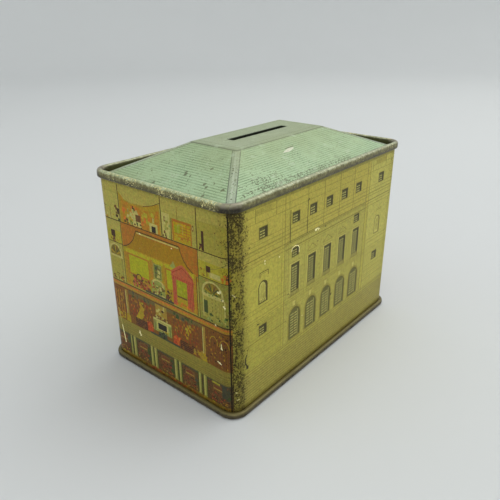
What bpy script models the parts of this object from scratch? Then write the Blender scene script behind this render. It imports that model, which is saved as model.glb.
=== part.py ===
"""Tin money box in the shape of a small classical building.

A wrapped tinplate body with a folded side seam, a pressed hipped roof with a coin slot, a seamed
base, and a coin trap in the base with its hinge and a sliding bolt lock.  Metres, +Z up.  The
origin is at the middle of the underside, +X runs along the long front, and the front faces -Y.
"""
import math

import bmesh
import bpy
from mathutils import Vector

MM = 0.001

# Driving dimensions of the box
LENGTH = 110.0 * MM            # outside of the long walls
WIDTH = 66.0 * MM              # outside of the short walls
RIM_TOP = 79.8 * MM            # top of the upper bead
ROOF_TOP = 87.7 * MM           # flat top of the roof
CORNER_RADIUS = 5.0 * MM       # vertical corners of the body
TIN = 0.35 * MM                # thickness of the tinplate
GAP = 0.3 * MM                 # clearance between sheets that touch
CHUCK_INSET = GAP + 2 * TIN    # from the wall to the inner face of a pressing's upright chuck wall
CORNER_STEPS = 8

# Upper bead, which is part of the roof pressing
UPPER_BEAD_PROUD = 1.2 * MM
UPPER_BEAD_HEIGHT = 3.0 * MM
UPPER_BEAD_ROUND = 0.7 * MM    # rounding of the bead's lower edge
ROOF_RECESS = 2.6 * MM         # depth of the roof's foot below the bead's top
WALL_TOP = RIM_TOP - 1.1 * MM

# Lower bead, which is part of the base pressing
LOWER_BEAD_PROUD = 1.55 * MM
LOWER_BEAD_HEIGHT = 2.4 * MM
LOWER_BEAD_ROUND = 1.0 * MM    # rounding of the bead's lower edge
LOWER_BEAD_CROWN = 0.9 * MM    # rounding of its upper edge
WALL_BOTTOM = 0.8 * MM
BASE_UNDERSIDE = 3.0 * MM      # underside of the recessed base panel

# Roof
TOP_PANEL = (53.0 * MM, 21.6 * MM)
TOP_PANEL_RADIUS = 0.6 * MM
SLOT = (33.6 * MM, 3.3 * MM)
SLOT_OFFSET = 1.0 * MM         # the slot sits a little behind the middle line
SLOT_LIP_DEPTH = 1.4 * MM

# Side seam, on the back wall
SEAM_X = 36.0 * MM
SEAM_LAP = 6.0 * MM
SEAM_JOG = (1.5 * MM, 0.4 * MM)

# Coin trap
TRAP_OPENING = (50.0 * MM, 36.0 * MM)
TRAP_DOOR = (58.0 * MM, 44.0 * MM)
TRAP_EMBOSS = (47.0 * MM, 33.0 * MM)
TRAP_RADIUS = 5.0 * MM
TRAP_SLOPE = 2.0 * MM          # how far the emboss widens on its way down
DOOR_TOP = BASE_UNDERSIDE - GAP
DOOR_RAISED = BASE_UNDERSIDE + TIN    # top of the door's pressed-up middle

# Hinge of the coin trap, along its back edge
PIN_RADIUS = 0.5 * MM
KNUCKLE_MIDDLE = 0.8 * MM      # from the hinge axis to the middle of a knuckle's sheet
HINGE_Y = TRAP_DOOR[1] / 2 + 1.6 * MM
HINGE_Z = DOOR_TOP - TIN / 2 - KNUCKLE_MIDDLE
KNUCKLE_LENGTH = 5.7 * MM
KNUCKLE_PITCH = 6.0 * MM
PIN_OVERHANG = 0.4 * MM        # how far the pin stands out beyond the outer knuckles
PIN_EDGE = 0.12 * MM

# Lock
CASE = (20.0 * MM, 13.0 * MM, 5.0 * MM)
CASE_Y = -9.5 * MM
CASE_BOTTOM = DOOR_RAISED + GAP
CASE_TOP = CASE_BOTTOM + CASE[2]
FOOT_LENGTH = 4.5 * MM
RIVET_X = CASE[0] / 2 + 2.2 * MM
RIVET_SPREAD = 3.8 * MM
RIVET_SHANK = 0.55 * MM
RIVET_HEAD = 1.15 * MM
RIVET_HOLE = 0.85 * MM
RIVET_DOME = 0.45 * MM
BOLT_WIDTH = 10.0 * MM
BOLT_THICKNESS = 1.2 * MM
BOLT_Z = CASE_BOTTOM + 1.6 * MM       # middle of the bolt's thickness
BOLT_TIP_Y = -17.3 * MM
BOLT_TAIL_Y = -3.7 * MM
BOLT_TRAVEL = 3.2 * MM
BOLT_NOTCH = 3.4 * MM          # depth of the notch that the key's bit turns in
POST_RADIUS = 0.8 * MM
POST_NECK = POST_RADIUS * 0.6  # radius where the post is headed over the case
SPRING_SIDES = (2.4 * POST_RADIUS, 4.0 * MM)
KEYHOLE_RADIUS = 2.0 * MM
KEYHOLE_WARD = (1.5 * MM, 4.4 * MM)

ROUND_STEPS = 24               # sides of round parts and holes
FINE_STEPS = 16                # sides of the smallest ones
MERGE = 0.01 * MM


# ---------------------------------------------------------------- scene and materials
def clear_scene():
    for item in list(bpy.data.objects):
        bpy.data.objects.remove(item, do_unlink=True)


def new_collection(name):
    collection = bpy.data.collections.new(name)
    bpy.context.scene.collection.children.link(collection)
    return collection


def material(name, colour, roughness, metallic):
    made = bpy.data.materials.new(name)
    made.use_nodes = True
    shader = made.node_tree.nodes["Principled BSDF"]
    shader.inputs["Base Color"].default_value = (*colour, 1.0)
    shader.inputs["Roughness"].default_value = roughness
    shader.inputs["Metallic"].default_value = metallic
    return made


# ---------------------------------------------------------------- shapes
def rounded_rectangle(size_x, size_y, radius, z):
    """Points round a rectangle with rounded corners, counter-clockwise from the +X side."""
    points = []
    for turn, (side_x, side_y) in enumerate(((1, 1), (-1, 1), (-1, -1), (1, -1))):
        centre = Vector((side_x * (size_x / 2 - radius), side_y * (size_y / 2 - radius), z))
        for step in range(CORNER_STEPS + 1):
            angle = (turn + step / CORNER_STEPS) * math.pi / 2
            points.append(centre + radius * Vector((math.cos(angle), math.sin(angle), 0)))
    return points


def body_ring(inset, z):
    """A ring that follows the body's outer wall at a distance inside it."""
    return rounded_rectangle(LENGTH - 2 * inset, WIDTH - 2 * inset, CORNER_RADIUS - inset, z)


def arc(centre_inset, centre_z, radius, start_degrees, end_degrees, steps=6):
    """Rings whose section is an arc: 0 degrees points out of the box, 90 degrees points up."""
    rings = []
    for step in range(steps + 1):
        angle = math.radians(start_degrees + (end_degrees - start_degrees) * step / steps)
        rings.append((centre_inset - radius * math.cos(angle), centre_z + radius * math.sin(angle)))
    return [body_ring(inset, z) for inset, z in rings]


def loft(name, rings, hole=False):
    """A closed solid through a list of equal rings: capped at both ends, or round a hole."""
    mesh = bmesh.new()
    rows = [[mesh.verts.new(point) for point in ring] for ring in rings]
    count = len(rings[0])
    if hole:
        rows.append(rows[0])
    for upper, lower in zip(rows, rows[1:]):
        for i in range(count):
            j = (i + 1) % count
            mesh.faces.new((upper[i], upper[j], lower[j], lower[i]))
    if not hole:
        mesh.faces.new(rows[0])
        mesh.faces.new(rows[-1])
    bmesh.ops.recalc_face_normals(mesh, faces=mesh.faces)
    return finish(name, mesh)


def finish(name, mesh):
    data = bpy.data.meshes.new(name)
    mesh.to_mesh(data)
    mesh.free()
    return bpy.data.objects.new(name, data)


def box(name, low, high):
    mesh = bmesh.new()
    bmesh.ops.create_cube(mesh, size=1.0)
    low, high = Vector(low), Vector(high)
    bmesh.ops.scale(mesh, vec=high - low, verts=mesh.verts)
    bmesh.ops.translate(mesh, vec=(low + high) / 2, verts=mesh.verts)
    return finish(name, mesh)


def cylinder(name, radius, start, end, steps=ROUND_STEPS):
    """A cylinder from one point to another."""
    start, end = Vector(start), Vector(end)
    mesh = bmesh.new()
    bmesh.ops.create_cone(mesh, cap_ends=True, segments=steps, radius1=radius, radius2=radius,
                          depth=(end - start).length)
    turn = (end - start).to_track_quat("Z", "Y").to_matrix()
    bmesh.ops.rotate(mesh, cent=(0, 0, 0), matrix=turn, verts=mesh.verts)
    bmesh.ops.translate(mesh, vec=(start + end) / 2, verts=mesh.verts)
    return finish(name, mesh)


def turned(name, profile):
    """A solid turned about Z from (radius, height) points that run from top to bottom."""
    mesh = bmesh.new()
    points = [mesh.verts.new((radius, 0, z)) for radius, z in profile]
    for upper, lower in zip(points, points[1:]):
        mesh.edges.new((upper, lower))
    made = finish(name, mesh)
    screw = made.modifiers.new("turn", "SCREW")
    screw.steps = FINE_STEPS
    screw.render_steps = FINE_STEPS
    screw.use_merge_vertices = True
    screw.merge_threshold = MERGE
    return made


def place(made, collection, surface):
    """Puts a finished sub-part in the model, with its material and smooth shading."""
    collection.objects.link(made)
    made.data.materials.clear()
    made.data.materials.append(surface)
    made.data.shade_smooth()
    made.data.set_sharp_from_angle(angle=math.radians(30))
    return made


def combine(made, tools, operation, cutters):
    """Adds or cuts each tool in turn with an exact Boolean."""
    for tool in tools:
        cutters.objects.link(tool)
        tool.hide_render = True
        tool.display_type = "WIRE"
        step = made.modifiers.new(tool.name, "BOOLEAN")
        step.operation = operation
        step.solver = "EXACT"
        step.object = tool
    return made


# ---------------------------------------------------------------- sub-parts
def body_wall(cutters):
    """One sheet wrapped round the four walls, whose end steps in and laps behind its start."""
    outline = rounded_rectangle(LENGTH, WIDTH, CORNER_RADIUS, 0)
    back_left = CORNER_STEPS + 1
    inner = WIDTH / 2 - TIN - GAP
    path = [Vector((SEAM_X, WIDTH / 2, 0))]
    path += outline[back_left:] + outline[:back_left]
    path += [Vector((SEAM_X + SEAM_JOG[0], WIDTH / 2, 0)), Vector((SEAM_X + SEAM_JOG[1], inner, 0)),
             Vector((SEAM_X - SEAM_LAP, inner, 0))]
    mesh = bmesh.new()
    row = [mesh.verts.new(point + Vector((0, 0, WALL_BOTTOM))) for point in path]
    edges = [mesh.edges.new(pair) for pair in zip(row, row[1:])]
    raised = bmesh.ops.extrude_edge_only(mesh, edges=edges)["geom"]
    top = [item for item in raised if isinstance(item, bmesh.types.BMVert)]
    bmesh.ops.translate(mesh, vec=(0, 0, WALL_TOP - WALL_BOTTOM), verts=top)
    made = finish("body_wall", mesh)
    sheet = made.modifiers.new("sheet", "SOLIDIFY")
    sheet.thickness = TIN
    sheet.offset = 1.0
    sheet.use_even_offset = True
    # the lap is notched where the beads close over the sheet
    reach = (SEAM_X - SEAM_LAP - GAP, inner - 2 * TIN), (SEAM_X + SEAM_JOG[0], WIDTH / 2 - TIN)
    upper_notch = RIM_TOP - UPPER_BEAD_HEIGHT - 2 * GAP
    lower_notch = BASE_UNDERSIDE + TIN + GAP
    notches = [
        box("cut_lap_top", (*reach[0], upper_notch), (*reach[1], RIM_TOP)),
        box("cut_lap_bottom", (*reach[0], 0), (*reach[1], lower_notch)),
    ]
    return combine(made, notches, "DIFFERENCE", cutters)


def roof(cutters):
    """Hipped roof, chuck wall and upper bead in one pressing, with a lipped coin slot."""
    foot = RIM_TOP - ROOF_RECESS
    crown = (UPPER_BEAD_PROUD + CHUCK_INSET) / 2       # radius of the bead's rounded top
    bead_foot = RIM_TOP - UPPER_BEAD_HEIGHT
    edge = UPPER_BEAD_ROUND
    panel_x, panel_y = TOP_PANEL
    rings = [rounded_rectangle(panel_x, panel_y, TOP_PANEL_RADIUS, ROOF_TOP), body_ring(CHUCK_INSET, foot)]
    rings += arc(CHUCK_INSET - crown, RIM_TOP - crown, crown, 180, 0, steps=10)
    rings += arc(edge - UPPER_BEAD_PROUD, bead_foot + edge, edge, 0, -90, steps=4)
    for inset, height in ((-GAP, bead_foot), (-GAP, WALL_TOP + GAP), (TIN + GAP, WALL_TOP + GAP),
                          (TIN + GAP, foot - TIN)):
        rings.append(body_ring(inset, height))
    rings.append(rounded_rectangle(panel_x - TIN / 2, panel_y - TIN / 2, TOP_PANEL_RADIUS, ROOF_TOP - TIN))
    made = loft("roof", rings)
    slot_x, slot_y = SLOT[0] / 2, SLOT[1] / 2
    front, back = SLOT_OFFSET - slot_y, SLOT_OFFSET + slot_y
    lip = box("slot_lip", (-slot_x - TIN, front - TIN, ROOF_TOP - SLOT_LIP_DEPTH),
              (slot_x + TIN, back + TIN, ROOF_TOP - TIN / 2))
    cut = box("cut_slot", (-slot_x, front, ROOF_TOP - 3 * MM), (slot_x, back, ROOF_TOP + 1 * MM))
    combine(made, [lip], "UNION", cutters)
    return combine(made, [cut], "DIFFERENCE", cutters)


def strip(name, path, low_x, high_x, thickness):
    """A sheet of even thickness that follows (y, z) points, between two places along X."""
    mesh = bmesh.new()
    row = [mesh.verts.new((low_x, y, z)) for y, z in path]
    edges = [mesh.edges.new(pair) for pair in zip(row, row[1:])]
    widened = bmesh.ops.extrude_edge_only(mesh, edges=edges)["geom"]
    side = [item for item in widened if isinstance(item, bmesh.types.BMVert)]
    bmesh.ops.translate(mesh, vec=(high_x - low_x, 0, 0), verts=side)
    made = finish(name, mesh)
    sheet = made.modifiers.new("sheet", "SOLIDIFY")
    sheet.thickness = thickness
    sheet.offset = 0
    sheet.use_even_offset = True
    return made


def curl(start_degrees, end_degrees):
    """(y, z) points round the hinge axis at the middle of a knuckle's sheet."""
    points = []
    for step in range(ROUND_STEPS + 1):
        angle = math.radians(start_degrees + (end_degrees - start_degrees) * step / ROUND_STEPS)
        points.append((HINGE_Y + KNUCKLE_MIDDLE * math.cos(angle),
                       HINGE_Z + KNUCKLE_MIDDLE * math.sin(angle)))
    return points


def knuckles(owner, places, path):
    """Tabs curled round the hinge pin, each a little thinner than the sheet that it grows from."""
    half = KNUCKLE_LENGTH / 2
    return [strip(f"{owner}_knuckle_{number}", path, x - half, x + half, 0.9 * TIN)
            for number, x in enumerate(places)]


def base_plate(cutters):
    """Recessed base panel and lower bead in one pressing, open for the coin trap."""
    floor = WALL_BOTTOM - GAP
    low, high = LOWER_BEAD_ROUND, LOWER_BEAD_CROWN
    panel_top = BASE_UNDERSIDE + TIN
    opening = [rounded_rectangle(*TRAP_OPENING, TRAP_RADIUS, z) for z in (BASE_UNDERSIDE, panel_top)]
    rings = [opening[0]]
    for inset, height in ((CHUCK_INSET, BASE_UNDERSIDE), (CHUCK_INSET, TIN), (TIN + GAP, 0)):
        rings.append(body_ring(inset, height))
    rings += arc(low - LOWER_BEAD_PROUD, low, low, -90, 0)
    rings += arc(high - LOWER_BEAD_PROUD, LOWER_BEAD_HEIGHT - high, high, 0, 90)
    for inset, height in ((-GAP, LOWER_BEAD_HEIGHT), (-GAP, floor), (TIN + GAP, floor),
                          (TIN + GAP, panel_top)):
        rings.append(body_ring(inset, height))
    rings.append(opening[1])
    made = loft("base_plate", rings, hole=True)
    hanging = [(HINGE_Y + KNUCKLE_MIDDLE, BASE_UNDERSIDE + TIN / 2)] + curl(0, -300)
    places = [-2 * KNUCKLE_PITCH, 0, 2 * KNUCKLE_PITCH]
    return combine(made, knuckles("base", places, hanging), "UNION", cutters)


def rivet_places():
    return [(side * RIVET_X, CASE_Y + end * RIVET_SPREAD) for side in (-1, 1) for end in (-1, 1)]


def rivet_holes(owner, low, high):
    return [cylinder(f"cut_{owner}_rivet_{n}", RIVET_HOLE, (x, y, low), (x, y, high), steps=FINE_STEPS)
            for n, (x, y) in enumerate(rivet_places())]


def trap_door(cutters):
    """Pressed door that laps under the opening's edge, with a raised middle and a keyhole."""
    door_x, door_y = TRAP_DOOR
    middle_x, middle_y = TRAP_EMBOSS
    slope = TRAP_SLOPE
    under = DOOR_TOP - TIN
    rings = []
    for size_x, size_y, radius, height in (
        (middle_x - TIN, middle_y - TIN, TRAP_RADIUS, DOOR_RAISED - TIN),
        (middle_x + slope, middle_y + slope, TRAP_RADIUS + slope / 2, under),
        (door_x, door_y, TRAP_RADIUS + slope, under),
        (door_x, door_y, TRAP_RADIUS + slope, DOOR_TOP),
        (middle_x + slope - TIN / 2, middle_y + slope - TIN / 2, TRAP_RADIUS + slope / 2, DOOR_TOP),
        (middle_x - 2 * TIN, middle_y - 2 * TIN, TRAP_RADIUS, DOOR_RAISED),
    ):
        rings.append(rounded_rectangle(size_x, size_y, radius, height))
    made = loft("trap_door", rings)
    level = [(door_y / 2 - 1 * MM, DOOR_TOP - TIN / 2)] + curl(90, -210)
    combine(made, knuckles("door", [-KNUCKLE_PITCH, KNUCKLE_PITCH], level), "UNION", cutters)
    ward_x, ward_y = KEYHOLE_WARD
    cuts = [cylinder("cut_keyhole", KEYHOLE_RADIUS, (0, CASE_Y, 0), (0, CASE_Y, 5 * MM)),
            box("cut_keyhole_ward", (-ward_x / 2, CASE_Y, 0), (ward_x / 2, CASE_Y + ward_y, 5 * MM))]
    return combine(made, cuts + rivet_holes("door", 0, 5 * MM), "DIFFERENCE", cutters)


def lock_case(cutters):
    """Folded tin cover over the bolt, on two riveted feet."""
    half_x, half_y = CASE[0] / 2, CASE[1] / 2
    made = box("lock_case", (-half_x, CASE_Y - half_y, CASE_BOTTOM), (half_x, CASE_Y + half_y, CASE_TOP))
    feet = box("lock_case_feet", (-half_x - FOOT_LENGTH, CASE_Y - half_y, CASE_BOTTOM),
               (half_x + FOOT_LENGTH, CASE_Y + half_y, CASE_BOTTOM + TIN))
    combine(made, [feet], "UNION", cutters)
    hollow = box("cut_case_hollow", (TIN - half_x, CASE_Y - half_y + TIN, 0),
                 (half_x - TIN, CASE_Y + half_y - TIN, CASE_TOP - TIN))
    bolt_x, bolt_z = BOLT_WIDTH / 2 + GAP, BOLT_THICKNESS / 2 + GAP
    mouth = box("cut_case_mouth", (-bolt_x, CASE_Y - half_y - 1 * MM, BOLT_Z - bolt_z),
                (bolt_x, CASE_Y, BOLT_Z + bolt_z))
    post_hole = cylinder("cut_case_post", POST_NECK + GAP, (0, CASE_Y, CASE_TOP - 1 * MM),
                         (0, CASE_Y, CASE_TOP + 1 * MM))
    cuts = [hollow, mouth, post_hole] + rivet_holes("case", CASE_BOTTOM - 1 * MM, CASE_BOTTOM + 1 * MM)
    return combine(made, cuts, "DIFFERENCE", cutters)


def lock_bolt(cutters):
    """Flat bolt with a slot that runs on the key post and a notch for the key's bit."""
    half_x, half_z = BOLT_WIDTH / 2, BOLT_THICKNESS / 2
    made = box("lock_bolt", (-half_x, BOLT_TIP_Y, BOLT_Z - half_z), (half_x, BOLT_TAIL_Y, BOLT_Z + half_z))
    room = POST_RADIUS + GAP
    run = box("cut_bolt_slot", (-2 * POST_RADIUS, CASE_Y - room, 0),
              (2 * POST_RADIUS, CASE_Y + room + BOLT_TRAVEL, CASE_TOP))
    notch = box("cut_bolt_notch", (0, CASE_Y - room, 0), (BOLT_NOTCH, CASE_Y + room, CASE_TOP))
    return combine(made, [run, notch], "DIFFERENCE", cutters)


def lock_spring():
    """Bowed leaf between the case's top and the bolt, which keeps the bolt where it is put."""
    reach = CASE[1] / 2 - 2 * TIN - GAP
    high = CASE_TOP - TIN - GAP
    low = BOLT_Z + BOLT_THICKNESS / 2 + GAP + TIN
    bow = []
    for i in range(FINE_STEPS + 1):
        along = 2 * i / FINE_STEPS - 1
        sag = (1 + math.cos(math.pi * along)) / 2
        bow.append((CASE_Y + reach * along, high - sag * (high - low)))
    return strip("lock_spring", bow, *SPRING_SIDES, 0.7 * TIN)


def key_post():
    """Turned pin that the hollow key fits on, headed over on top of the case."""
    head = RIVET_HEAD
    top, shoulder = CASE_TOP + GAP, CASE_TOP - TIN - GAP
    made = turned("key_post", [
        (0, top + 0.5 * MM), (0.6 * head, top + 0.4 * MM), (head, top), (POST_NECK, top),
        (POST_NECK, shoulder), (POST_RADIUS, shoulder),
        (POST_RADIUS, DOOR_TOP + GAP), (0.7 * POST_RADIUS, DOOR_TOP), (0, DOOR_TOP)])
    made.location = (0, CASE_Y, 0)
    return made


def lock_rivet(number, x, y):
    """Round-headed rivet through a foot of the lock case and the door."""
    top = CASE_BOTTOM + TIN + GAP
    under = DOOR_RAISED - TIN - GAP
    shoulder, rise = 0.65 * RIVET_HEAD, 0.8 * RIVET_DOME
    made = turned(f"lock_rivet_{number}", [
        (0, top + RIVET_DOME), (shoulder, top + rise), (RIVET_HEAD, top), (RIVET_SHANK, top),
        (RIVET_SHANK, under), (RIVET_HEAD, under), (shoulder, under - rise), (0, under - RIVET_DOME)])
    made.location = (x, y, 0)
    return made


def hinge_pin():
    reach = 2.5 * KNUCKLE_PITCH + PIN_OVERHANG
    made = cylinder("hinge_pin", PIN_RADIUS, (-reach, 0, 0), (reach, 0, 0), steps=FINE_STEPS)
    edge = made.modifiers.new("edge", "BEVEL")
    edge.width = PIN_EDGE
    edge.segments = 1
    edge.limit_method = "ANGLE"
    made.location = (0, HINGE_Y, HINGE_Z)
    return made


def main():
    clear_scene()
    parts = new_collection("tin_money_box")
    cutters = new_collection("cutters")

    printed = material("printed_tin", (0.36, 0.34, 0.10), 0.42, 0.2)
    roof_print = material("roof_print", (0.42, 0.55, 0.33), 0.45, 0.1)
    lacquered = material("lacquered_tin", (0.20, 0.18, 0.11), 0.4, 0.6)
    bare = material("bare_tin", (0.50, 0.49, 0.46), 0.35, 0.9)
    steel = material("steel", (0.42, 0.42, 0.42), 0.35, 1.0)

    place(body_wall(cutters), parts, printed)
    place(roof(cutters), parts, roof_print)
    place(base_plate(cutters), parts, lacquered)
    place(hinge_pin(), parts, steel)

    # the coin trap turns about the hinge axis, and the bolt slides in its lock
    hinge = bpy.data.objects.new("trap_hinge_axis", None)
    hinge.location = (0, HINGE_Y, HINGE_Z)
    parts.objects.link(hinge)
    swinging = [place(trap_door(cutters), parts, lacquered), place(lock_case(cutters), parts, bare),
                place(lock_spring(), parts, steel), place(key_post(), parts, steel),
                place(lock_bolt(cutters), parts, steel)]
    for number, (x, y) in enumerate(rivet_places(), start=1):
        swinging.append(place(lock_rivet(number, x, y), parts, steel))
    for piece in swinging:
        piece.parent = hinge
        piece.matrix_parent_inverse.translation = -hinge.location


main()
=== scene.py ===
"""The looks of a tin money box: printed walls, a printed roof, rolled beads, and its underside."""
import math
import random

import bmesh
import bpy
from mathutils import Matrix, Vector, noise
from mathutils.geometry import delaunay_2d_cdt


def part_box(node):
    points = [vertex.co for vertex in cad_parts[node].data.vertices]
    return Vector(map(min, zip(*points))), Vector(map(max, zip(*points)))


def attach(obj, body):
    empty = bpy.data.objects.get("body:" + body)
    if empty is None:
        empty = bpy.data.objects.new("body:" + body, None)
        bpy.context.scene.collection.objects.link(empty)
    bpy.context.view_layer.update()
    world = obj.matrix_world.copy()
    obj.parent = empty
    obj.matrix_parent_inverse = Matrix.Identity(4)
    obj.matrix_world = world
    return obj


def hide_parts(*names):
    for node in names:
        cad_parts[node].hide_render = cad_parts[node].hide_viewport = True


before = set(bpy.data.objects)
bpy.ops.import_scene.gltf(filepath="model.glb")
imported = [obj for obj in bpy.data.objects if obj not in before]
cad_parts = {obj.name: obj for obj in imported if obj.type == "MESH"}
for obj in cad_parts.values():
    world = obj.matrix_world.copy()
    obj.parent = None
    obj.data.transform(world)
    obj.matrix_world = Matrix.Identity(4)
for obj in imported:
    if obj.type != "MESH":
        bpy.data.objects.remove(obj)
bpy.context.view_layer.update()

MM = 0.001

# Sizes in millimetres. The outline comes from the frame; the rest repeats the CAD's own dimensions.
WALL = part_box("body_wall")
HALF_LENGTH = WALL[1].x / MM
HALF_WIDTH = WALL[1].y / MM
ROOF_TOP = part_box("roof")[1].z / MM
CORNER = 5.0                  # corner radius of the walls
RIM_TOP = 79.8                # top of the upper bead
UPPER_PROUD = 1.2
UPPER_HEIGHT = 3.0
ROOF_FOOT = RIM_TOP - 2.6     # where the slopes meet the chuck wall
CHUCK = 1.0                   # inset of the chuck wall's inner face
PANEL = (26.5, 10.8)          # half sizes of the roof's flat top
SLOT = (16.8, 1.65)           # half sizes of the coin slot
SLOT_Y = 1.0
LOWER_PROUD = 1.55
LOWER_HEIGHT = 2.4
PRINT_FOOT = 1.6              # the print runs down behind the lower bead
PRINT_HEAD = RIM_TOP - UPPER_HEIGHT + 0.4
SKIN = 0.05                   # thickness of a printed skin
SKIN_LIFT = 0.08              # how far a skin's face stands off the CAD wall
ROOF_SKIN = 0.3

# Seeds of the scattered marks
SCAR_SEED, ROOM_SEED, HIP_SEED, ROOF_SEED = 3, 11, 17, 5

LACQUER = (1.38, 1.32, 0.89)  # the walls are printed over gold lacquer
ROOF_PAINT = (1.06, 1.06, 1.02)


# ---------------------------------------------------------------- colours and node helpers
def linear(rgb, gain=(1.0, 1.0, 1.0)):
    """Linear colour with alpha, of an sRGB triple from 0 to 255 times a gain for each channel."""
    values = [c / 255 for c in rgb]
    return (*(g * (v / 12.92 if v <= 0.04045 else ((v + 0.055) / 1.055) ** 2.4)
              for v, g in zip(values, gain)), 1.0)


class Value:
    """A node's output, which takes arithmetic as a number does."""

    def __init__(self, nodes, socket):
        self.nodes, self.socket = nodes, socket

    def __add__(self, other):
        return self.nodes.math("ADD", self, other)

    def __sub__(self, other):
        return self.nodes.math("SUBTRACT", self, other)

    def __rsub__(self, other):
        return self.nodes.math("SUBTRACT", other, self)

    def __mul__(self, other):
        return self.nodes.math("MULTIPLY", self, other)

    def __abs__(self):
        return self.nodes.math("ABSOLUTE", self)

    def ramp(self, low, high):
        """0 at low, 1 at high, and smooth between them; high may be below low."""
        node = self.nodes.add("ShaderNodeMapRange", interpolation_type="SMOOTHSTEP")
        self.nodes.fill(node, {"Value": self, "From Min": low, "From Max": high})
        return Value(self.nodes, node.outputs["Result"])


class Nodes:
    """Short ways to add and join nodes in one tree. Colours are sRGB triples from 0 to 255."""

    def __init__(self, tree):
        self.tree = tree

    def add(self, kind, **settings):
        node = self.tree.nodes.new(kind)
        for key, value in settings.items():
            setattr(node, key, value)
        return node

    def feed(self, socket, value):
        """Joins an output to an input, or sets a constant on it."""
        if isinstance(value, Value):
            self.tree.links.new(value.socket, socket)
        elif isinstance(value, bpy.types.NodeSocket):
            self.tree.links.new(value, socket)
        elif socket.type == "RGBA" and len(value) == 3:
            socket.default_value = linear(value)
        else:
            socket.default_value = value

    def fill(self, node, values):
        for title, value in values.items():
            self.feed(node.inputs[title], value)

    def join(self, kind, values, **settings):
        """Adds a node, feeds its inputs in order, and gives its first output."""
        node = self.add(kind, **settings)
        for socket, value in zip(node.inputs, values):
            self.feed(socket, value)
        return Value(self, node.outputs[0])

    def math(self, operation, *values, clamp=False):
        return self.join("ShaderNodeMath", values, operation=operation, use_clamp=clamp)

    def vector(self, operation, *values):
        return self.join("ShaderNodeVectorMath", values, operation=operation)

    def tint(self, colour, factor):
        """Colour times a number."""
        node = self.add("ShaderNodeVectorMath", operation="SCALE")
        self.fill(node, {0: linear(colour)[:3] if isinstance(colour, tuple) else colour, "Scale": factor})
        return Value(self, node.outputs[0])

    def place(self):
        """Position in millimetres, in the object's own frame."""
        return self.tint(self.add("ShaderNodeTexCoord").outputs["Object"], 1 / MM)

    def axes(self, vector):
        split = self.add("ShaderNodeSeparateXYZ")
        self.feed(split.inputs[0], vector)
        return [Value(self, output) for output in split.outputs]

    def noise(self, vector, scale, detail=2.0, roughness=0.5, stretch=None, output="Fac"):
        node = self.add("ShaderNodeTexNoise")
        if stretch:
            vector = self.vector("MULTIPLY", vector, stretch)
        self.fill(node, {"Vector": vector, "Scale": scale, "Detail": detail, "Roughness": roughness})
        return Value(self, node.outputs[output])

    def mix(self, factor, first, second):
        node = self.add("ShaderNodeMix", data_type="RGBA")
        self.fill(node, {0: factor, 6: first, 7: second})
        return Value(self, node.outputs[2])

    def bump(self, height, strength, depth):
        node = self.add("ShaderNodeBump")
        self.fill(node, {"Strength": strength, "Distance": depth * MM, "Height": height})
        return Value(self, node.outputs["Normal"])


def material(name):
    """A new material, with the helper for its nodes and its shader."""
    made = bpy.data.materials.new(name)
    made.use_nodes = True
    return made, Nodes(made.node_tree), made.node_tree.nodes["Principled BSDF"]


def wear_and_shade_group(name, control, shade_and_wear):
    """A node group that ages a flat colour and paints shade on it. shade_and_wear gives the worn colour with
    its painted shade, its roughness and its relief.
    """
    group = bpy.data.node_groups.new(name, "ShaderNodeTree")
    for title, way, kind in (
        ("Color", "INPUT", "Color"), (control, "INPUT", "Float"), ("Color", "OUTPUT", "Color"),
        ("Roughness", "OUTPUT", "Float"), ("Normal", "OUTPUT", "Vector"),
    ):
        group.interface.new_socket(title, in_out=way, socket_type="NodeSocket" + kind)
    n = Nodes(group)
    given, result = n.add("NodeGroupInput"), n.add("NodeGroupOutput")
    colour, rough, relief = shade_and_wear(n, given.outputs["Color"], Value(n, given.outputs[control]))
    n.fill(result, {"Color": colour, "Roughness": rough, "Normal": n.bump(relief, 0.35, 0.03)})
    return group


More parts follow.
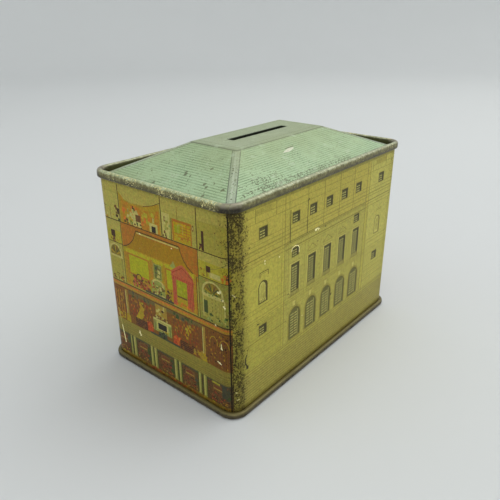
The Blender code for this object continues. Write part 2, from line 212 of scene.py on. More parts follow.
def shade_and_wear_print(n, colour, brush):
    """Wear of the printed walls: tone, grain, specks, scratches and rusted corners; and painted shade under
    the upper bead.
    """
    place = n.place()
    x, y, z = n.axes(place)
    broad, middle, grain = n.noise(place, 0.07, 2), n.noise(place, 0.55, 3, 0.6), n.noise(place, 1.2, 4, 0.8)
    # the band under the overhanging upper bead, which is painted darker as painted shade
    shade_under_rim, by_base = z.ramp(75.0, 76.9), z.ramp(4.6, 2.2)
    by_corner = n.math("LESS_THAN", x, -54.0) * y.ramp(-14.0, -30.0)
    tone = broad * 0.16 + middle * 0.26 + grain * 1.3 + 0.13
    # painted shade: darker under the upper bead; also darker towards the foot and towards the near end of the
    # left wall
    colour = n.tint(colour, tone - shade_under_rim * 0.30 - by_base * 0.22 - by_corner * 0.16)

    # the brush of the painted scenes: hue and tone wander over a few tenths of a millimetre
    dapple = n.noise(place, 0.85, 5, 0.75, (1.0, 1.0, 0.8), "Color")
    wander = n.vector("MULTIPLY_ADD", dapple, (2.5, 2.1, 2.1), (-0.25, -0.05, -0.05))
    colour = n.mix(brush, colour, n.vector("MULTIPLY", colour, wander))

    # small dark specks, in loose clusters
    limit = n.noise(place, 0.10, 1) * -0.18 + 0.815
    specks = (n.noise(place, 1.5, 3, 0.65) - limit).ramp(0.0, 0.03) * 0.75
    colour = n.mix(specks, colour, (70, 62, 30))

    # fine scratches down to the tin
    turned = n.add("ShaderNodeVectorRotate", rotation_type="AXIS_ANGLE")
    n.fill(turned, {"Vector": place, "Axis": (0.6, 0.6, 0.5), "Angle": 0.7})
    streak = n.noise(turned.outputs[0], 1.2, 2, 0.5, (3.0, 0.12, 0.5))
    colour = n.mix(streak.ramp(0.735, 0.76) * 0.30, colour, (176, 172, 138))

    # the corners are rubbed and rusted, the near one far more than the others
    beside = n.math("MINIMUM", (abs(x) - 46.4) * 0.42, (abs(y) - 27.4) * 0.24, clamp=True)
    near = n.math("LESS_THAN", x, 0.0) * n.math("LESS_THAN", y, 0.0)
    amount = beside * (near * 0.72 + 0.28)
    heavy = x.ramp(-48.8, -50.4) * y.ramp(-30.7, -31.0)
    patch = n.noise(place, 0.42, 2, 0.6, (1.0, 1.0, 0.6)) * 0.34 - 0.17
    rust = n.noise(place, 1.7, 5, 0.78, (1.0, 1.0, 0.8)) + patch + z.ramp(50.0, 76.0) * 0.045
    rust = rust + heavy * x.ramp(-52.0, -54.0) * 0.02 + heavy * 0.062 + amount * 0.068
    bare = rust.ramp(0.625, 0.665) * amount.ramp(0.02, 0.3)
    stain = amount * (heavy * 0.5 + 0.3)
    colour = n.mix(stain, colour, n.vector("MULTIPLY", colour, (0.50, 0.47, 0.36)))
    dirt = n.mix(n.noise(place, 2.1, 2).ramp(0.4, 0.62), (30, 25, 11), (66, 54, 24))
    colour = n.mix(bare * 0.9, colour, dirt)

    rough = middle * 0.18 + 0.33 + n.math("MAXIMUM", bare, specks) * 0.22
    return colour, rough, grain * 0.35 - bare * 0.8 - specks


def shade_and_wear_roof(n, colour, fade):
    """Wear of the roof's paint: tone, dark dabs and rubbed places; and painted shade along the foot."""
    place = n.place()
    x, y, z = n.axes(place)
    broad, middle, grain = n.noise(place, 0.06, 2), n.noise(place, 0.5, 3, 0.6), n.noise(place, 2.6, 3, 0.7)
    # the printed courses fade in places
    faded = fade * n.noise(place, 0.16, 3, 0.6).ramp(0.36, 0.66)
    colour = n.mix(faded * 0.85, colour, linear((168, 192, 154), ROOF_PAINT))
    colour = n.tint(colour, broad * 0.16 + middle * 0.24 + grain * 0.40 + 0.60)
    # the paint turns olive in places, high up and in one nook, and stays mint low down
    olive = (broad + middle * 0.3).ramp(0.52, 0.78) * 0.16 + z.ramp(79.0, 87.5) * 0.30
    nook = x.ramp(-42.0, -53.0) * y.ramp(4.0, 30.0)
    colour = n.mix(n.math("ADD", olive, nook * 0.5, clamp=True), colour, (150, 158, 108))
    pepper = n.noise(place, 2.3, 2, 0.65) + x.ramp(-20.0, -40.0) * 0.02
    colour = n.mix(pepper.ramp(0.585, 0.66) * 0.46, colour, (106, 114, 80))
    cloud = n.noise(place, 0.22, 4, 0.65, (1.0, 1.3, 1.0))
    colour = n.mix(cloud.ramp(0.56, 0.70) * 0.45, colour, (190, 204, 172))
    colour = n.mix(cloud.ramp(0.44, 0.32) * 0.34, colour, (128, 140, 106))
    # dark dabs, more of them near the foot
    limit = n.noise(place, 0.09, 1) * -0.18 + 0.80 - z.ramp(82.0, 77.5) * 0.035
    dabs = (n.noise(place, 1.15, 3, 0.62, (0.8, 1.3, 1.0)) - limit).ramp(0.0, 0.04) * 0.62
    colour = n.mix(dabs, colour, (92, 100, 74))
    # rubbed places, and painted shade along the foot, in the crease against the chuck wall
    rub = n.noise(place, 0.8, 3, 0.6, (0.5, 2.2, 1.0))
    colour = n.mix(rub.ramp(0.66, 0.74) * 0.35, colour, (196, 204, 180))
    # painted shade: darker along the foot, where the slopes run into the chuck wall
    colour = n.mix(z.ramp(78.3, 77.2) * 0.45, colour, (98, 100, 70))
    return colour, middle * 0.2 + 0.34 + dabs * 0.2, grain * 0.4 - dabs * 0.8


INKS = {}


def inks(group, control, gain, metallic, specular, table):
    """Printed colours that share a group of wear and painted shade: (amount for the group's control, {name:
    sRGB}).
    """
    for amount, colours in table:
        for name, rgb in colours.items():
            made, n, shader = material("ink_" + name)
            worn = n.add("ShaderNodeGroup", node_tree=group)
            n.fill(worn, {"Color": linear(rgb, gain), control: amount})
            n.fill(shader, {"Base Color": worn.outputs["Color"], "Roughness": worn.outputs["Roughness"],
                            "Normal": worn.outputs["Normal"], "Metallic": metallic,
                            "Specular IOR Level": specular})
            INKS[name] = made


# ---------------------------------------------------------------- printed artwork
def finished(mesh, name):
    """Turns an edit mesh into mesh data."""
    data = bpy.data.meshes.new(name)
    mesh.to_mesh(data)
    mesh.free()
    return data


class Artwork:
    """Overlapping inked shapes on a flat sheet, in millimetres; later shapes cover earlier ones."""

    def __init__(self, paper, outline, hole=None):
        self.shapes = [(paper, outline)]
        self.hole = hole
        self.folds = []

    def shape(self, colour, points):
        self.shapes.append((colour, points))

    def rect(self, colour, left, low, right, high):
        self.shape(colour, [(left, low), (right, low), (right, high), (left, high)])

    def bar(self, colour, start, end, width):
        """A straight stroke."""
        (ax, ay), (bx, by) = start, end
        length = math.hypot(bx - ax, by - ay)
        px, py = (ay - by) * width / 2 / length, (bx - ax) * width / 2 / length
        self.shape(colour, [(ax + px, ay + py), (ax - px, ay - py),
                            (bx - px, by - py), (bx + px, by + py)])

    def path(self, colour, points, width):
        for start, end in zip(points, points[1:]):
            self.bar(colour, start, end, width)

    def rows(self, colour, left, right, low, high, step, width):
        """Level lines at an even step."""
        count = int((high - low) / step) + 1
        for i in range(count):
            at = low + i * step
            self.rect(colour, left, at - width / 2, right, at + width / 2)

    def columns(self, colour, low, high, left, right, step, width):
        count = int((right - left) / step) + 1
        for i in range(count):
            at = left + i * step
            self.rect(colour, at - width / 2, low, at + width / 2, high)

    def arch(self, colour, left, low, right, high, rise, steps=8):
        """A rectangle whose top is a half ellipse of that rise."""
        middle, half = (left + right) / 2, (right - left) / 2
        points = [(left, low), (right, low)]
        for i in range(steps + 1):
            angle = math.pi * i / steps
            points.append((middle + half * math.cos(angle), high - rise + rise * math.sin(angle)))
        self.shape(colour, points)

    def oval(self, colour, x, y, half_x, half_y, steps=10):
        turns = [2 * math.pi * i / steps for i in range(steps)]
        self.shape(colour, [(x + half_x * math.cos(t), y + half_y * math.sin(t)) for t in turns])

    def fold(self, start, end):
        """An unseen line that only gives the sheet points to bend at."""
        self.folds.append((start, end))

    def mesh(self, name, place):
        """One unbroken mesh in which each patch shows its topmost shape; place maps (u, v) to a point."""
        points, edges, faces = [], [], []
        outlines = [outline for _, outline in self.shapes] + ([self.hole] if self.hole else [])
        for outline in outlines:
            area = sum(a[0] * b[1] - b[0] * a[1] for a, b in zip(outline, outline[1:] + outline[:1]))
            outline = outline if area > 0 else outline[::-1]
            faces.append(list(range(len(points), len(points) + len(outline))))
            points += [Vector(point) for point in outline]
        for start, end in self.folds:
            edges.append((len(points), len(points) + 1))
            points += [Vector(start), Vector(end)]
        found = delaunay_2d_cdt(points, edges, faces, 1, 1e-4, True)
        hole = len(self.shapes) if self.hole else -1
        colours = sorted({colour for colour, _ in self.shapes})
        mesh = bmesh.new()
        spots = [mesh.verts.new(place(*spot)) for spot in found[0]]
        for corners, owners in zip(found[2], found[5]):
            if 0 not in owners or hole in owners:
                continue
            patch = mesh.faces.new([spots[i] for i in corners])
            patch.material_index = colours.index(self.shapes[max(owners)][0])
            patch.smooth = True
        bmesh.ops.delete(mesh, geom=[v for v in mesh.verts if not v.link_faces], context="VERTS")
        for edge in mesh.edges:
            edge.smooth = not edge.is_boundary
        data = finished(mesh, name)
        for colour in colours:
            data.materials.append(INKS[colour])
        return data


def placed(name, data):
    """Links a new object to the scene."""
    made = bpy.data.objects.new(name, data)
    bpy.context.scene.collection.objects.link(made)
    return made


def show(data, body="box"):
    """Puts a finished mesh in the scene as a piece that rides on a body."""
    made = placed(data.name, data)
    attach(made, body)
    return made


def thicken(made, depth):
    """Gives a skin its thickness, inwards from the printed face."""
    sheet = made.modifiers.new("thickness", "SOLIDIFY")
    sheet.thickness = depth * MM
    sheet.offset = -1.0
    return made


# ---------------------------------------------------------------- inks of the walls
inks(wear_and_shade_group("print_wear_and_shade", "Brush", shade_and_wear_print), "Brush", LACQUER, 0.25, 0.22, (
    (0.12, dict(      # the columned front
        wing=(160, 154, 76), attic=(160, 151, 76), bay=(154, 149, 80), right_wing=(165, 161, 90),
        top_band=(146, 140, 74), low_wing=(151, 146, 72), plinth=(146, 139, 76), plinth_top=(154, 148, 76),
        plinth_line=(120, 112, 60), plinth_low=(128, 120, 66), foot=(104, 92, 50), line=(137, 130, 65),
        line_dark=(117, 110, 53), line_heavy=(70, 64, 30), glass=(72, 70, 38), slat=(156, 153, 98),
        shade=(58, 54, 24), arch_glass=(92, 90, 50), arch_edge=(84, 80, 36), pale=(172, 168, 102),
        niche=(156, 151, 82), hatch=(150, 142, 71), hair=(144, 137, 66), chip=(226, 222, 196),
        spot=(52, 46, 24))),
    (0.22, dict(      # plain parts of the rooms
        ceiling=(154, 145, 77), olive_room=(157, 150, 82), cream_room=(147, 141, 71),
        last_room=(145, 137, 62), course=(127, 118, 56), course_line=(104, 96, 46), cove=(143, 109, 6),
        panel=(150, 150, 14), yellow_green=(152, 144, 44), pilaster=(134, 132, 72), cream=(168, 161, 104),
        outline=(66, 50, 26))),
    (0.5, dict(       # busy parts of the rooms
        orange=(158, 112, 26), apricot=(152, 124, 30), flame=(176, 100, 38), gold=(152, 132, 24),
        bed_gold=(158, 134, 10), bed_post=(150, 96, 30), brown=(96, 64, 34), dark_brown=(62, 40, 24),
        spandrel=(150, 98, 28), cornice=(158, 150, 26), frame=(152, 114, 30), wall_gold=(148, 126, 22),
        picture=(96, 98, 48), pink=(162, 84, 60), rose=(140, 58, 42), bed_green=(136, 138, 20),
        mantel=(124, 130, 70), green_room=(128, 124, 58), fan=(116, 102, 38), dark_green=(58, 72, 36),
        band=(142, 106, 44), band_line=(84, 56, 26), library=(112, 74, 26), library_top=(96, 84, 50),
        red=(132, 56, 28), scarlet=(164, 70, 34), column=(142, 118, 54), chimney=(142, 121, 50),
        mint=(130, 136, 76), hearth=(40, 36, 30), slate=(64, 66, 56), bay_dark=(82, 62, 36),
        bay_mid=(106, 78, 44), bay_red=(102, 60, 38), pilaster_edge=(92, 92, 50), strip=(122, 96, 36),
        strip_red=(140, 72, 40), border=(14, 10, 5))),
))


def wall_sheet(half_flat, paper, hole=None, folds=6):
    """Starts the artwork of one wall, which runs halfway round the corners at both of its ends."""
    edge = half_flat + CORNER * math.pi / 4
    outline = [(-edge, PRINT_FOOT), (edge, PRINT_FOOT), (edge, PRINT_HEAD), (-edge, PRINT_HEAD)]
    art = Artwork(paper, outline, hole)
    for side in (-1, 1):
        for k in range(folds):
            at = side * (half_flat + CORNER * math.pi / 4 * k / folds)
            art.fold((at, PRINT_FOOT), (at, PRINT_HEAD))
    return art


def round_wall(half_flat, distance, out, along):
    """Returns the map from a wall's artwork to space. out and along are (x, y) directions."""
    def place(u, v):
        bend = max(abs(u) - half_flat, 0.0) / CORNER
        side = math.copysign(1.0, u)
        reach = min(abs(u), half_flat) + (CORNER + SKIN_LIFT) * math.sin(bend)
        depth = distance - CORNER + (CORNER + SKIN_LIFT) * math.cos(bend)
        return (MM * (out[0] * depth + along[0] * side * reach),
                MM * (out[1] * depth + along[1] * side * reach), MM * v)
    return place


def flaked(art, colour, u, v, half_u, half_v, rng):
    """A ragged chip: a few small overlapping flakes."""
    for _ in range(6):
        across, up = u + half_u * rng.uniform(-0.7, 0.7), v + half_v * rng.uniform(-0.7, 0.7)
        turn = rng.uniform(0, math.pi)
        points = []
        for k in range(5):
            angle = turn + 2 * math.pi * k / 5
            reach = rng.uniform(0.25, 0.7)
            points.append((across + half_u * reach * math.cos(angle), up + half_v * reach * math.sin(angle)))
        art.shape(colour, points)


def sketch(draw, colour, spots, width=0.35):
    """Short hand-drawn strokes: each spot is (u, v, du, dv)."""
    for u, v, du, dv in spots:
        draw.bar(colour, (u, v), (u + du, v + dv), width)


def barred_window(art, left, low, right, high, pitch, slat, shade):
    """A window with pale level bars, a dark reveal on the right, and a dark head."""
    art.rect("line_dark", left - 0.25, low - 0.25, right + 0.25, high + 0.3)
    art.rect("glass", left, low, right, high)
    art.rows("slat", left + 0.3, right - shade - 0.15, low + pitch * 0.6, high - 0.7, pitch, slat)
    middle = (left + right - shade) / 2
    art.rect("arch_edge", middle - 0.12, low, middle + 0.12, high - 0.3)
    art.rect("shade", right - shade, low, right, high)
    art.rect("shade", left, high - 0.4, right, high)


PAST = 60                     # beyond either end of a long wall's sheet
PLINTH = 17.1                 # top of the coursed plinth


def facade(art):
    """The columned front: attic, five tall bays between two wings, and a coursed plinth."""
    rect, rows, columns, path, arch = art.rect, art.rows, art.columns, art.path, art.arch
    rect("attic", -PAST, 56, 30.5, 75.6)
    rect("top_band", -PAST, 75.6, PAST, 78)
    rect("bay", -28, PLINTH, 28.6, 58.5)
    rect("right_wing", 30.8, PLINTH, PAST, 75.6)
    rect("low_wing", -PAST, PLINTH, -28.6, 34)
    rect("plinth_top", -PAST, 15, PAST, PLINTH)
    rect("plinth", -PAST, 3.6, PAST, 15)
    rect("plinth_low", -PAST, 2.4, PAST, 4.2)
    rect("foot", -PAST, 1, PAST, 2.6)

    # fine ruled shading
    for left, right, low, high in (
        (-50, -29.6, 17.8, 33.8), (31.4, 48.6, 17.8, 33.8), (-26.4, 28.4, 31.8, 34),
    ):
        rows("hair", left, right, low, high, 1.05, 0.2)

    # level mouldings
    for z, width, colour in (
        (75.6, 0.3, "line"), (73.1, 0.25, "line"), (70.7, 0.25, "line"), (64.6, 0.25, "line"),
        (63.1, 0.3, "line"), (61.6, 0.55, "line"), (60.4, 0.3, "line"), (58.5, 0.35, "line_dark"),
        (57.3, 0.25, "line"), (56, 0.25, "line"), (36.3, 0.25, "line"), (35.2, 0.3, "line"),
        (34.4, 0.25, "line"),
    ):
        rect(colour, -52, z - width / 2, 52, z + width / 2)
    for z, width, colour in (
        (40, 0.25, "line"), (38.5, 0.3, "line"), (32.9, 0.2, "line"), (27.1, 0.26, "line_dark"),
        (25, 0.2, "line"), (22.9, 0.2, "line"), (20.7, 0.25, "line"),
    ):
        rect(colour, -50, z - width / 2, -26, z + width / 2)
        rect("line", 31, z - width / 2, 50, z + width / 2)
    rect("line", -27.3, 57.6, 29, 58.2)
    rect("line_dark", -27.3, 57.8, 4, 58.05)
    rect("line_dark", -27.3, 55.6, 29, 55.9)
    rect("line", -27.3, 54.8, 29, 55.05)

    # verticals of the central block
    for x, low, high, width, colour in (
        (-29.3, PLINTH, 72, 0.3, "line"), (-27.7, PLINTH, 75.4, 0.3, "line_dark"),
        (-26.8, 34, 58.5, 0.25, "line"), (-25.4, 40, 75.4, 0.3, "line"), (-24.7, 58, 70, 0.45, "line_heavy"),
        (28.6, PLINTH, 75.4, 0.4, "line_dark"), (31, PLINTH, 75.4, 0.35, "line_dark"),
        (30, 34, 58, 0.25, "line"), (-31.5, 34, 56, 0.2, "line"), (50.3, PLINTH, 75.4, 0.35, "line"),
        (48.9, PLINTH, 56, 0.25, "line"),
    ):
        rect(colour, x - width / 2, low, x + width / 2, high)
    for x in (-14.3, -3.7, 7.2, 17.75):
        rect("line_dark", x - 0.18, 58.5, x + 0.18, 75.4)
        rect("line", x - 1.1, 34.5, x - 0.9, 56)
        rect("line", x + 0.9, 34.5, x + 1.1, 56)
    rect("line_heavy", -14.55, 58.3, -14.15, 71)

    # hatched panel at the left of the attic, and its pair
    for left, right, ends in ((-43.5, -35, (-43.5, -32.7)), (35, 44, (32.7, 44))):
        rect("hatch", left, 73, right, 75.3)
        rows("line", left, right, 73.3, 75.2, 0.5, 0.16)
        for x in ends:
            rect("line_dark", x - 0.16, 70.8, x + 0.16, 75.5)

    # end bays: window, bracket, niche, low window
    for centre, faint in ((-39.5, False), (40.7, True)):
        barred_window(art, centre - 2.1, 64.8, centre + 2.1, 68.6, 0.95, 0.42, 1.3)
        edge = "line" if faint else "line_heavy"
        path(edge, [(centre - 1.8, 50.7), (centre - 1.8, 52.6), (centre + 2.7, 52.6),
                    (centre + 2.7, 50.7)], 0.28)
        rect("line", centre - 1.4, 51.8, centre + 2.3, 52.2)
        arch("line_dark" if faint else "line_heavy", centre - 2.6, 41, centre + 2.4, 49.5, 2.3)
        arch("pale", centre - 2.1, 41.5, centre + 1.2, 49, 1.9)
        arch("niche", centre - 1.6, 42.6, centre + 1, 48.2, 1.5)
        if not faint:
            rect("line_dark", centre - 2, 41.4, centre + 1.6, 42.4)
            columns("pale", 41.5, 42.3, centre - 1.5, centre + 1.2, 0.9, 0.4)
            art.bar("line_dark", (centre + 0.4, 42.6), (centre + 0.4, 44.4), 0.4)
        barred_window(art, centre - 2.2, 28.6, centre + 1.9, 32.3, 0.95, 0.4, 1.3)

    # the five bays
    for number, centre in enumerate((-21.4, -10.75, 0, 10.75, 21.6)):
        barred_window(art, centre - 2.1, 64.8, centre + 2.1, 68.6, 0.95, 0.42, 1.2)
        if number in (0, 4):
            barred_window(art, centre - 1.9, 51.9, centre + 2.1, 55.2, 0.9, 0.36, 1)
        else:
            roof = [(centre - 2.9, 51), (centre + 0.2, 53.2), (centre + 3.3, 51)]
            path("line_dark", roof, 0.24)
            rect("line", centre - 2.9, 50.7, centre + 3.3, 51)
        rect("pale", centre - 2.9, 37.6, centre + 3.3, 49.8)
        rect("line", centre - 3, 49.6, centre + 3.4, 49.9)
        barred_window(art, centre - 2.1, 38, centre + 2.7, 48.9, 1, 0.46, 1.2)
        rect("line_dark", centre - 2.5, 36.3, centre + 2.9, 38)
        columns("slat", 36.6, 37.7, centre - 2.1, centre + 2.6, 0.8, 0.34)
        rect("line", centre - 3.2, 35.9, centre + 3.6, 36.2)
        # keystone and arched window
        art.shape("line", [(centre - 0.9, 31.2), (centre + 1.1, 31.2), (centre + 1.5, 34),
                           (centre - 1.3, 34)])
        art.shape("pale", [(centre - 0.6, 31.3), (centre + 0.8, 31.3), (centre + 1.1, 33.7),
                           (centre - 0.9, 33.7)])
        arch("line", centre - 3.6, 17.3, centre + 5, 31.7, 4.4, 10)
        arch("line_dark", centre - 3, 17.6, centre + 4.6, 31, 4, 10)
        arch("arch_edge", centre - 2.7, 17.9, centre + 4.3, 30.7, 3.7, 10)
        arch("arch_glass", centre - 2.4, 18.2, centre + 3.3, 30.3, 3.2, 10)
        rows("slat", centre - 1.8, centre + 2.3, 19, 28.8, 1.15, 0.5)
        rect("arch_edge", centre + 0.2, 18.2, centre + 0.5, 30)
        rect("slat", centre + 2.6, 18.2, centre + 2.95, 29.2)
    rect("line", -52, 17, 52, 17.3)

    # coursed plinth
    rows("plinth_line", -52, 52, 4.9, 16.6, 1.15, 0.34)
    rect("line_dark", -52, 3.1, 52, 3.4)
    rect("line", -52, 4.1, 52, 4.35)


def scars(art):
    """Chips, scratches and dark spots that the front carries."""
    rng = random.Random(SCAR_SEED)
    for colour, u, v, half_u, half_v in (
        ("chip", -8.1, 57.9, 1.6, 0.45), ("chip", -6.6, 57.4, 0.7, 0.3), ("chip", -38.8, 56.2, 0.4, 0.35),
        ("chip", -38.6, 55.2, 0.25, 0.4), ("chip", -30.8, 54.9, 0.35, 0.3), ("spot", -13.9, 71, 0.55, 0.45),
        ("spot", -46.6, 63.5, 0.45, 0.35), ("spot", -42.3, 33.6, 0.65, 0.4), ("spot", 4.9, 25.1, 0.6, 0.7),
        ("spot", -2.1, 57.3, 0.5, 0.3), ("spot", -7.1, 52.9, 0.45, 0.3), ("spot", -25.2, 37.9, 0.6, 0.3),
        ("line_dark", -16.6, 46.6, 0.5, 0.3), ("line_dark", -33.2, 23.4, 0.4, 0.3),
        ("chip", -15.6, 24.8, 0.4, 0.25), ("chip", -53, 10.6, 0.5, 0.35), ("chip", -52.6, 7.4, 0.6, 0.3),
    ):
        flaked(art, colour, u, v, half_u, half_v, rng)
    arc = [(-23.6, 54.2), (-23.3, 55.4), (-21.6, 55.9), (-19.6, 55.3), (-18.9, 54.2), (-19, 52.6)]
    art.path("chip", arc, 0.32)
    hook = [(-48.2, 24.4), (-49, 23.2), (-49.1, 21.2), (-48.4, 20), (-47.6, 18.8)]
    art.path("spot", hook, 0.6)
    art.rect("spot", -48.6, 18.4, -47.5, 19.6)
    art.path("chip", [(-54.6, 49.8), (-53.4, 49), (-52.6, 48.1)], 0.35)


PAST_END = 36                 # beyond either end of a short wall's sheet
TOP_FLOOR = 61.9
LEFT_ROOM, RIGHT_ROOM = -20.6, 18.5     # the partitions on either side of the tall rooms


def cutaway(art):
    """The short wall: a section through the rooms. u runs from the left of the view to the right."""
    rect, rows, columns, arch, oval = art.rect, art.rows, art.columns, art.arch, art.oval
    shape, path, bar = art.shape, art.path, art.bar
    rng = random.Random(ROOM_SEED)

    def dabs(colours, left, low, right, high, count, size, tall=1):
        """Loose brush marks that fill a patch."""
        for _ in range(count):
            colour = rng.choice(colours.split())
            u, v = rng.uniform(left, right), rng.uniform(low, high)
            half_u, half_v = size * rng.uniform(0.5, 1.2), size * tall * rng.uniform(0.5, 1.2)
            lean = rng.uniform(-0.3, 0.3) * half_u
            shape(colour, [(u - half_u, v - half_v * 0.7), (u + half_u * 0.7, v - half_v),
                           (u + half_u + lean, v + half_v * 0.6), (u - half_u * 0.6 + lean, v + half_v)])

    # top floor
    rect("ceiling", -PAST_END, TOP_FLOOR, PAST_END, 78)
    rect("olive_room", -PAST_END, TOP_FLOOR, LEFT_ROOM, 73)
    rect("cream_room", 1.9, TOP_FLOOR, RIGHT_ROOM, 71.5)
    rect("last_room", RIGHT_ROOM, TOP_FLOOR, PAST_END, 72)
    path("line", [(-PAST_END, 73.2), (LEFT_ROOM, 72.6)], 0.25)
    shape("apricot", [(-20.2, TOP_FLOOR), (1.4, TOP_FLOOR), (1.4, 73.3), (-1.6, 72.3), (-5, 71.2), (-8, 70.9),
                      (-14.5, 70.6), (-17.5, 71.2), (-20.2, 73.6)])
    shape("orange", [(-18.8, 62), (0.6, 62), (0.9, 70.8), (-2.6, 69.6), (-7, 69.4), (-13, 69.8),
                     (-18.8, 71)])
    dabs("flame apricot orange yellow_green", -18.5, 63, 0, 69.5, 46, 1, 1.1)
    path("outline", [(1.9, 73.8), (-2.2, 72), (-7, 70.7)], 0.22)
    path("line", [(-7, 70.7), (-14.5, 70.4), (-20.4, 74.6)], 0.22)
    dabs("cream mint cream", -16.5, 62.6, -12, 68, 12, 0.7, 1.4)
    shape("cream", [(-13.6, 62.4), (-8.6, 62.4), (-9.4, 66.2), (-10.8, 68.6), (-12.6, 67)])
    rect("brown", -11.6, 64.2, -8.8, 66.8)
    dabs("brown cream dark_green", -19, 62.2, -6, 64, 20, 0.5)
    dabs("dark_brown brown", -12.8, 68, -11.4, 69.8, 4, 0.5)
    rect("cream", -4.3, 62.2, -0.2, 65.5)
    rect("hearth", -3.3, 62.2, -1.2, 64.5)
    rect("cream", -2.6, 65.8, -1.8, 67.5)

    for u in (LEFT_ROOM, 1.9, RIGHT_ROOM):
        rect("outline", u - 0.2, TOP_FLOOR, u + 0.2, 76)
    sketch(art, "brown", ((-34.8, 62.2, 0, 3.6), (-33.4, 62.2, 0, 4.4), (-31.4, 62.2, 0, 5.2),
                          (-29, 62.2, 0, 5.4),
                          (-26, 62.2, 0, 4.6), (-33, 66.6, 5, 0.2), (-31.8, 62.2, 3, 4.2)), 0.22)
    dabs("brown hatch dark_brown dark_green", -23.4, 62.4, -21.2, 67.6, 12, 0.65)
    dabs("apricot cream", -34.5, 62.2, -24, 64.5, 12, 0.6)

    # third room: bed with a frame
    rect("cream", 2.4, 62.2, 6, 71)
    dabs("mint green_room cream_room", 2.8, 62.4, 6.4, 69.5, 12, 0.6)
    for u, v in ((3.6, 68.8), (16.9, 68.6)):
        oval("brown", u, v, 0.42, 1.1, 8)
        oval("cream", u, v, 0.2, 0.6, 6)
    rect("bed_gold", 7.6, 62.2, 16, 69.8)
    rect("bed_post", 7.2, 69, 16.4, 69.9)
    rows("bed_post", 8, 16, 63.2, 68.6, 0.95, 0.28)
    for u, width in ((7.5, 0.6), (16, 0.5), (13.9, 0.3)):
        rect("bed_post", u - width / 2, 62.2, u + width / 2, 69.8)
    rect("bed_green", 8.4, 65.2, 11.2, 68.2)
    path("hatch", [(10, 65.2), (10, 68.3), (12.2, 68.3), (12.2, 65.2)], 0.3)
    rect("gold", 8.2, 62.4, 15.6, 64)
    dabs("bed_post gold yellow_green", 8.2, 62.6, 15.4, 64.6, 10, 0.5)
    bar("outline", (9.8, 69.9), (9.8, 74.2), 0.16)
    sketch(art, "outline", ((6.6, TOP_FLOOR, 0.3, 8),), 0.3)
    dabs("brown dark_brown", 2.2, 62.2, 4.6, 64.4, 5, 0.5)

    # last room
    path("line", [(18.7, 71.8), (29, 72.2), (33, 72)], 0.2)
    rect("dark_brown", 20.5, 62.2, 21.6, 68.9)
    dabs("dark_brown brown", 19, 62.3, 20.2, 64.4, 4, 0.5)
    rect("line", 22, 62.2, 26.4, 69)
    rect("last_room", 22.3, 62.2, 26.1, 68.7)
    rect("line", 24, 62.2, 24.2, 68.7)
    dabs("brown dark_brown", 26.4, 62.6, 30.5, 71, 8, 0.22)

    # second zone, either side of the cove
    rect("yellow_green", -PAST_END, 52.8, -20.9, TOP_FLOOR)
    rect("ceiling", -PAST_END, 57.6, -20.9, TOP_FLOOR)
    rect("dark_brown", -27, 55, -24.6, 57.6)
    rect("brown", -26.2, 53.6, -24.9, 55)
    dabs("brown apricot", -27.6, 53, -23.4, 54.6, 6, 0.5)
    rect("yellow_green", 18.6, 52.8, PAST_END, TOP_FLOOR)
    rect("ceiling", 18.6, 58.6, PAST_END, TOP_FLOOR)
    path("line_dark", [(21, 55.8), (26, 57.2), (32.4, 60.6)], 0.22)
    rect("dark_brown", 22, 55.2, 24, 57.4)
    rect("brown", 22.2, 53.4, 22.6, 55.4)
    rect("cream", 23.6, 53.6, 28.2, 55.4)
    dabs("flame brown orange", 28.6, 53, 32, 56.2, 10, 0.7)
    dabs("apricot brown", 19.2, 53, 21.4, 56, 5, 0.5)

    # saloon under its coved ceiling
    rect("spandrel", LEFT_ROOM, 52, RIGHT_ROOM, 61.7)
    cove_left = [(-12.4, 60.4), (-13.2, 58.6), (-14.4, 56.4), (-16.4, 54.4), (-18.4, 53.2), (LEFT_ROOM, 52.4)]
    cove_right = [(17.9, 51.6), (15.6, 52.6), (13.2, 54.2), (11.4, 56.4), (10.4, 58.6), (9.9, 60.4)]
    shape("cove", cove_left[::-1] + cove_right[::-1] + [(RIGHT_ROOM, 50), (LEFT_ROOM, 50)])
    path("outline", cove_left, 0.34)
    path("outline", cove_right, 0.34)
    rect("outline", -12.4, 60.2, 9.9, 60.6)
    rect("cream", -12, 59.5, 9.5, 59.95)
    rect("spandrel", -12, 59, 9.5, 59.3)
    rect("frame", -2.15, 52.4, -1.9, 59.2)
    rect("wall_gold", LEFT_ROOM, 37.2, 17.4, 52.4)
    rect("cornice", -19.4, 50.6, 16.2, 52.3)
    rect("gold", -19, 51.9, 16, 52.4)
    rect("frame", -20, 37.2, -18.2, 50.6)
    for left, right in ((-17.8, -7), (2.6, 6.2)):
        rect("spandrel", left - 0.5, 42, right + 0.5, 50.4)
        rect("panel", left, 42.5, right, 49.9)
    rect("frame", -6.2, 42, -4.6, 51.2)
    rect("column", -4.9, 42, -4.3, 51.2)
    rect("frame", 1, 42, 2, 51.2)
    rect("mint", -4.1, 44.2, 0, 50.3)
    rect("picture", -3.8, 44.6, -0.3, 49.9)
    dabs("slate mint dark_green cream", -3.4, 45.2, -0.7, 49.4, 14, 0.5, 1.2)
    # seats and table along the wall
    dabs("brown dark_brown red pink bay_red", -16.8, 37.6, -7, 42, 60, 0.75)
    dabs("bay_red pink apricot", -15.4, 38.6, -9, 41.4, 18, 0.6)
    dabs("gold apricot", -19.6, 37.4, -17, 42, 12, 0.6)
    arch("outline", -14.6, 41, -11.2, 43.2, 1.4, 8)
    arch("wall_gold", -14.1, 41, -11.7, 42.8, 1.1, 8)
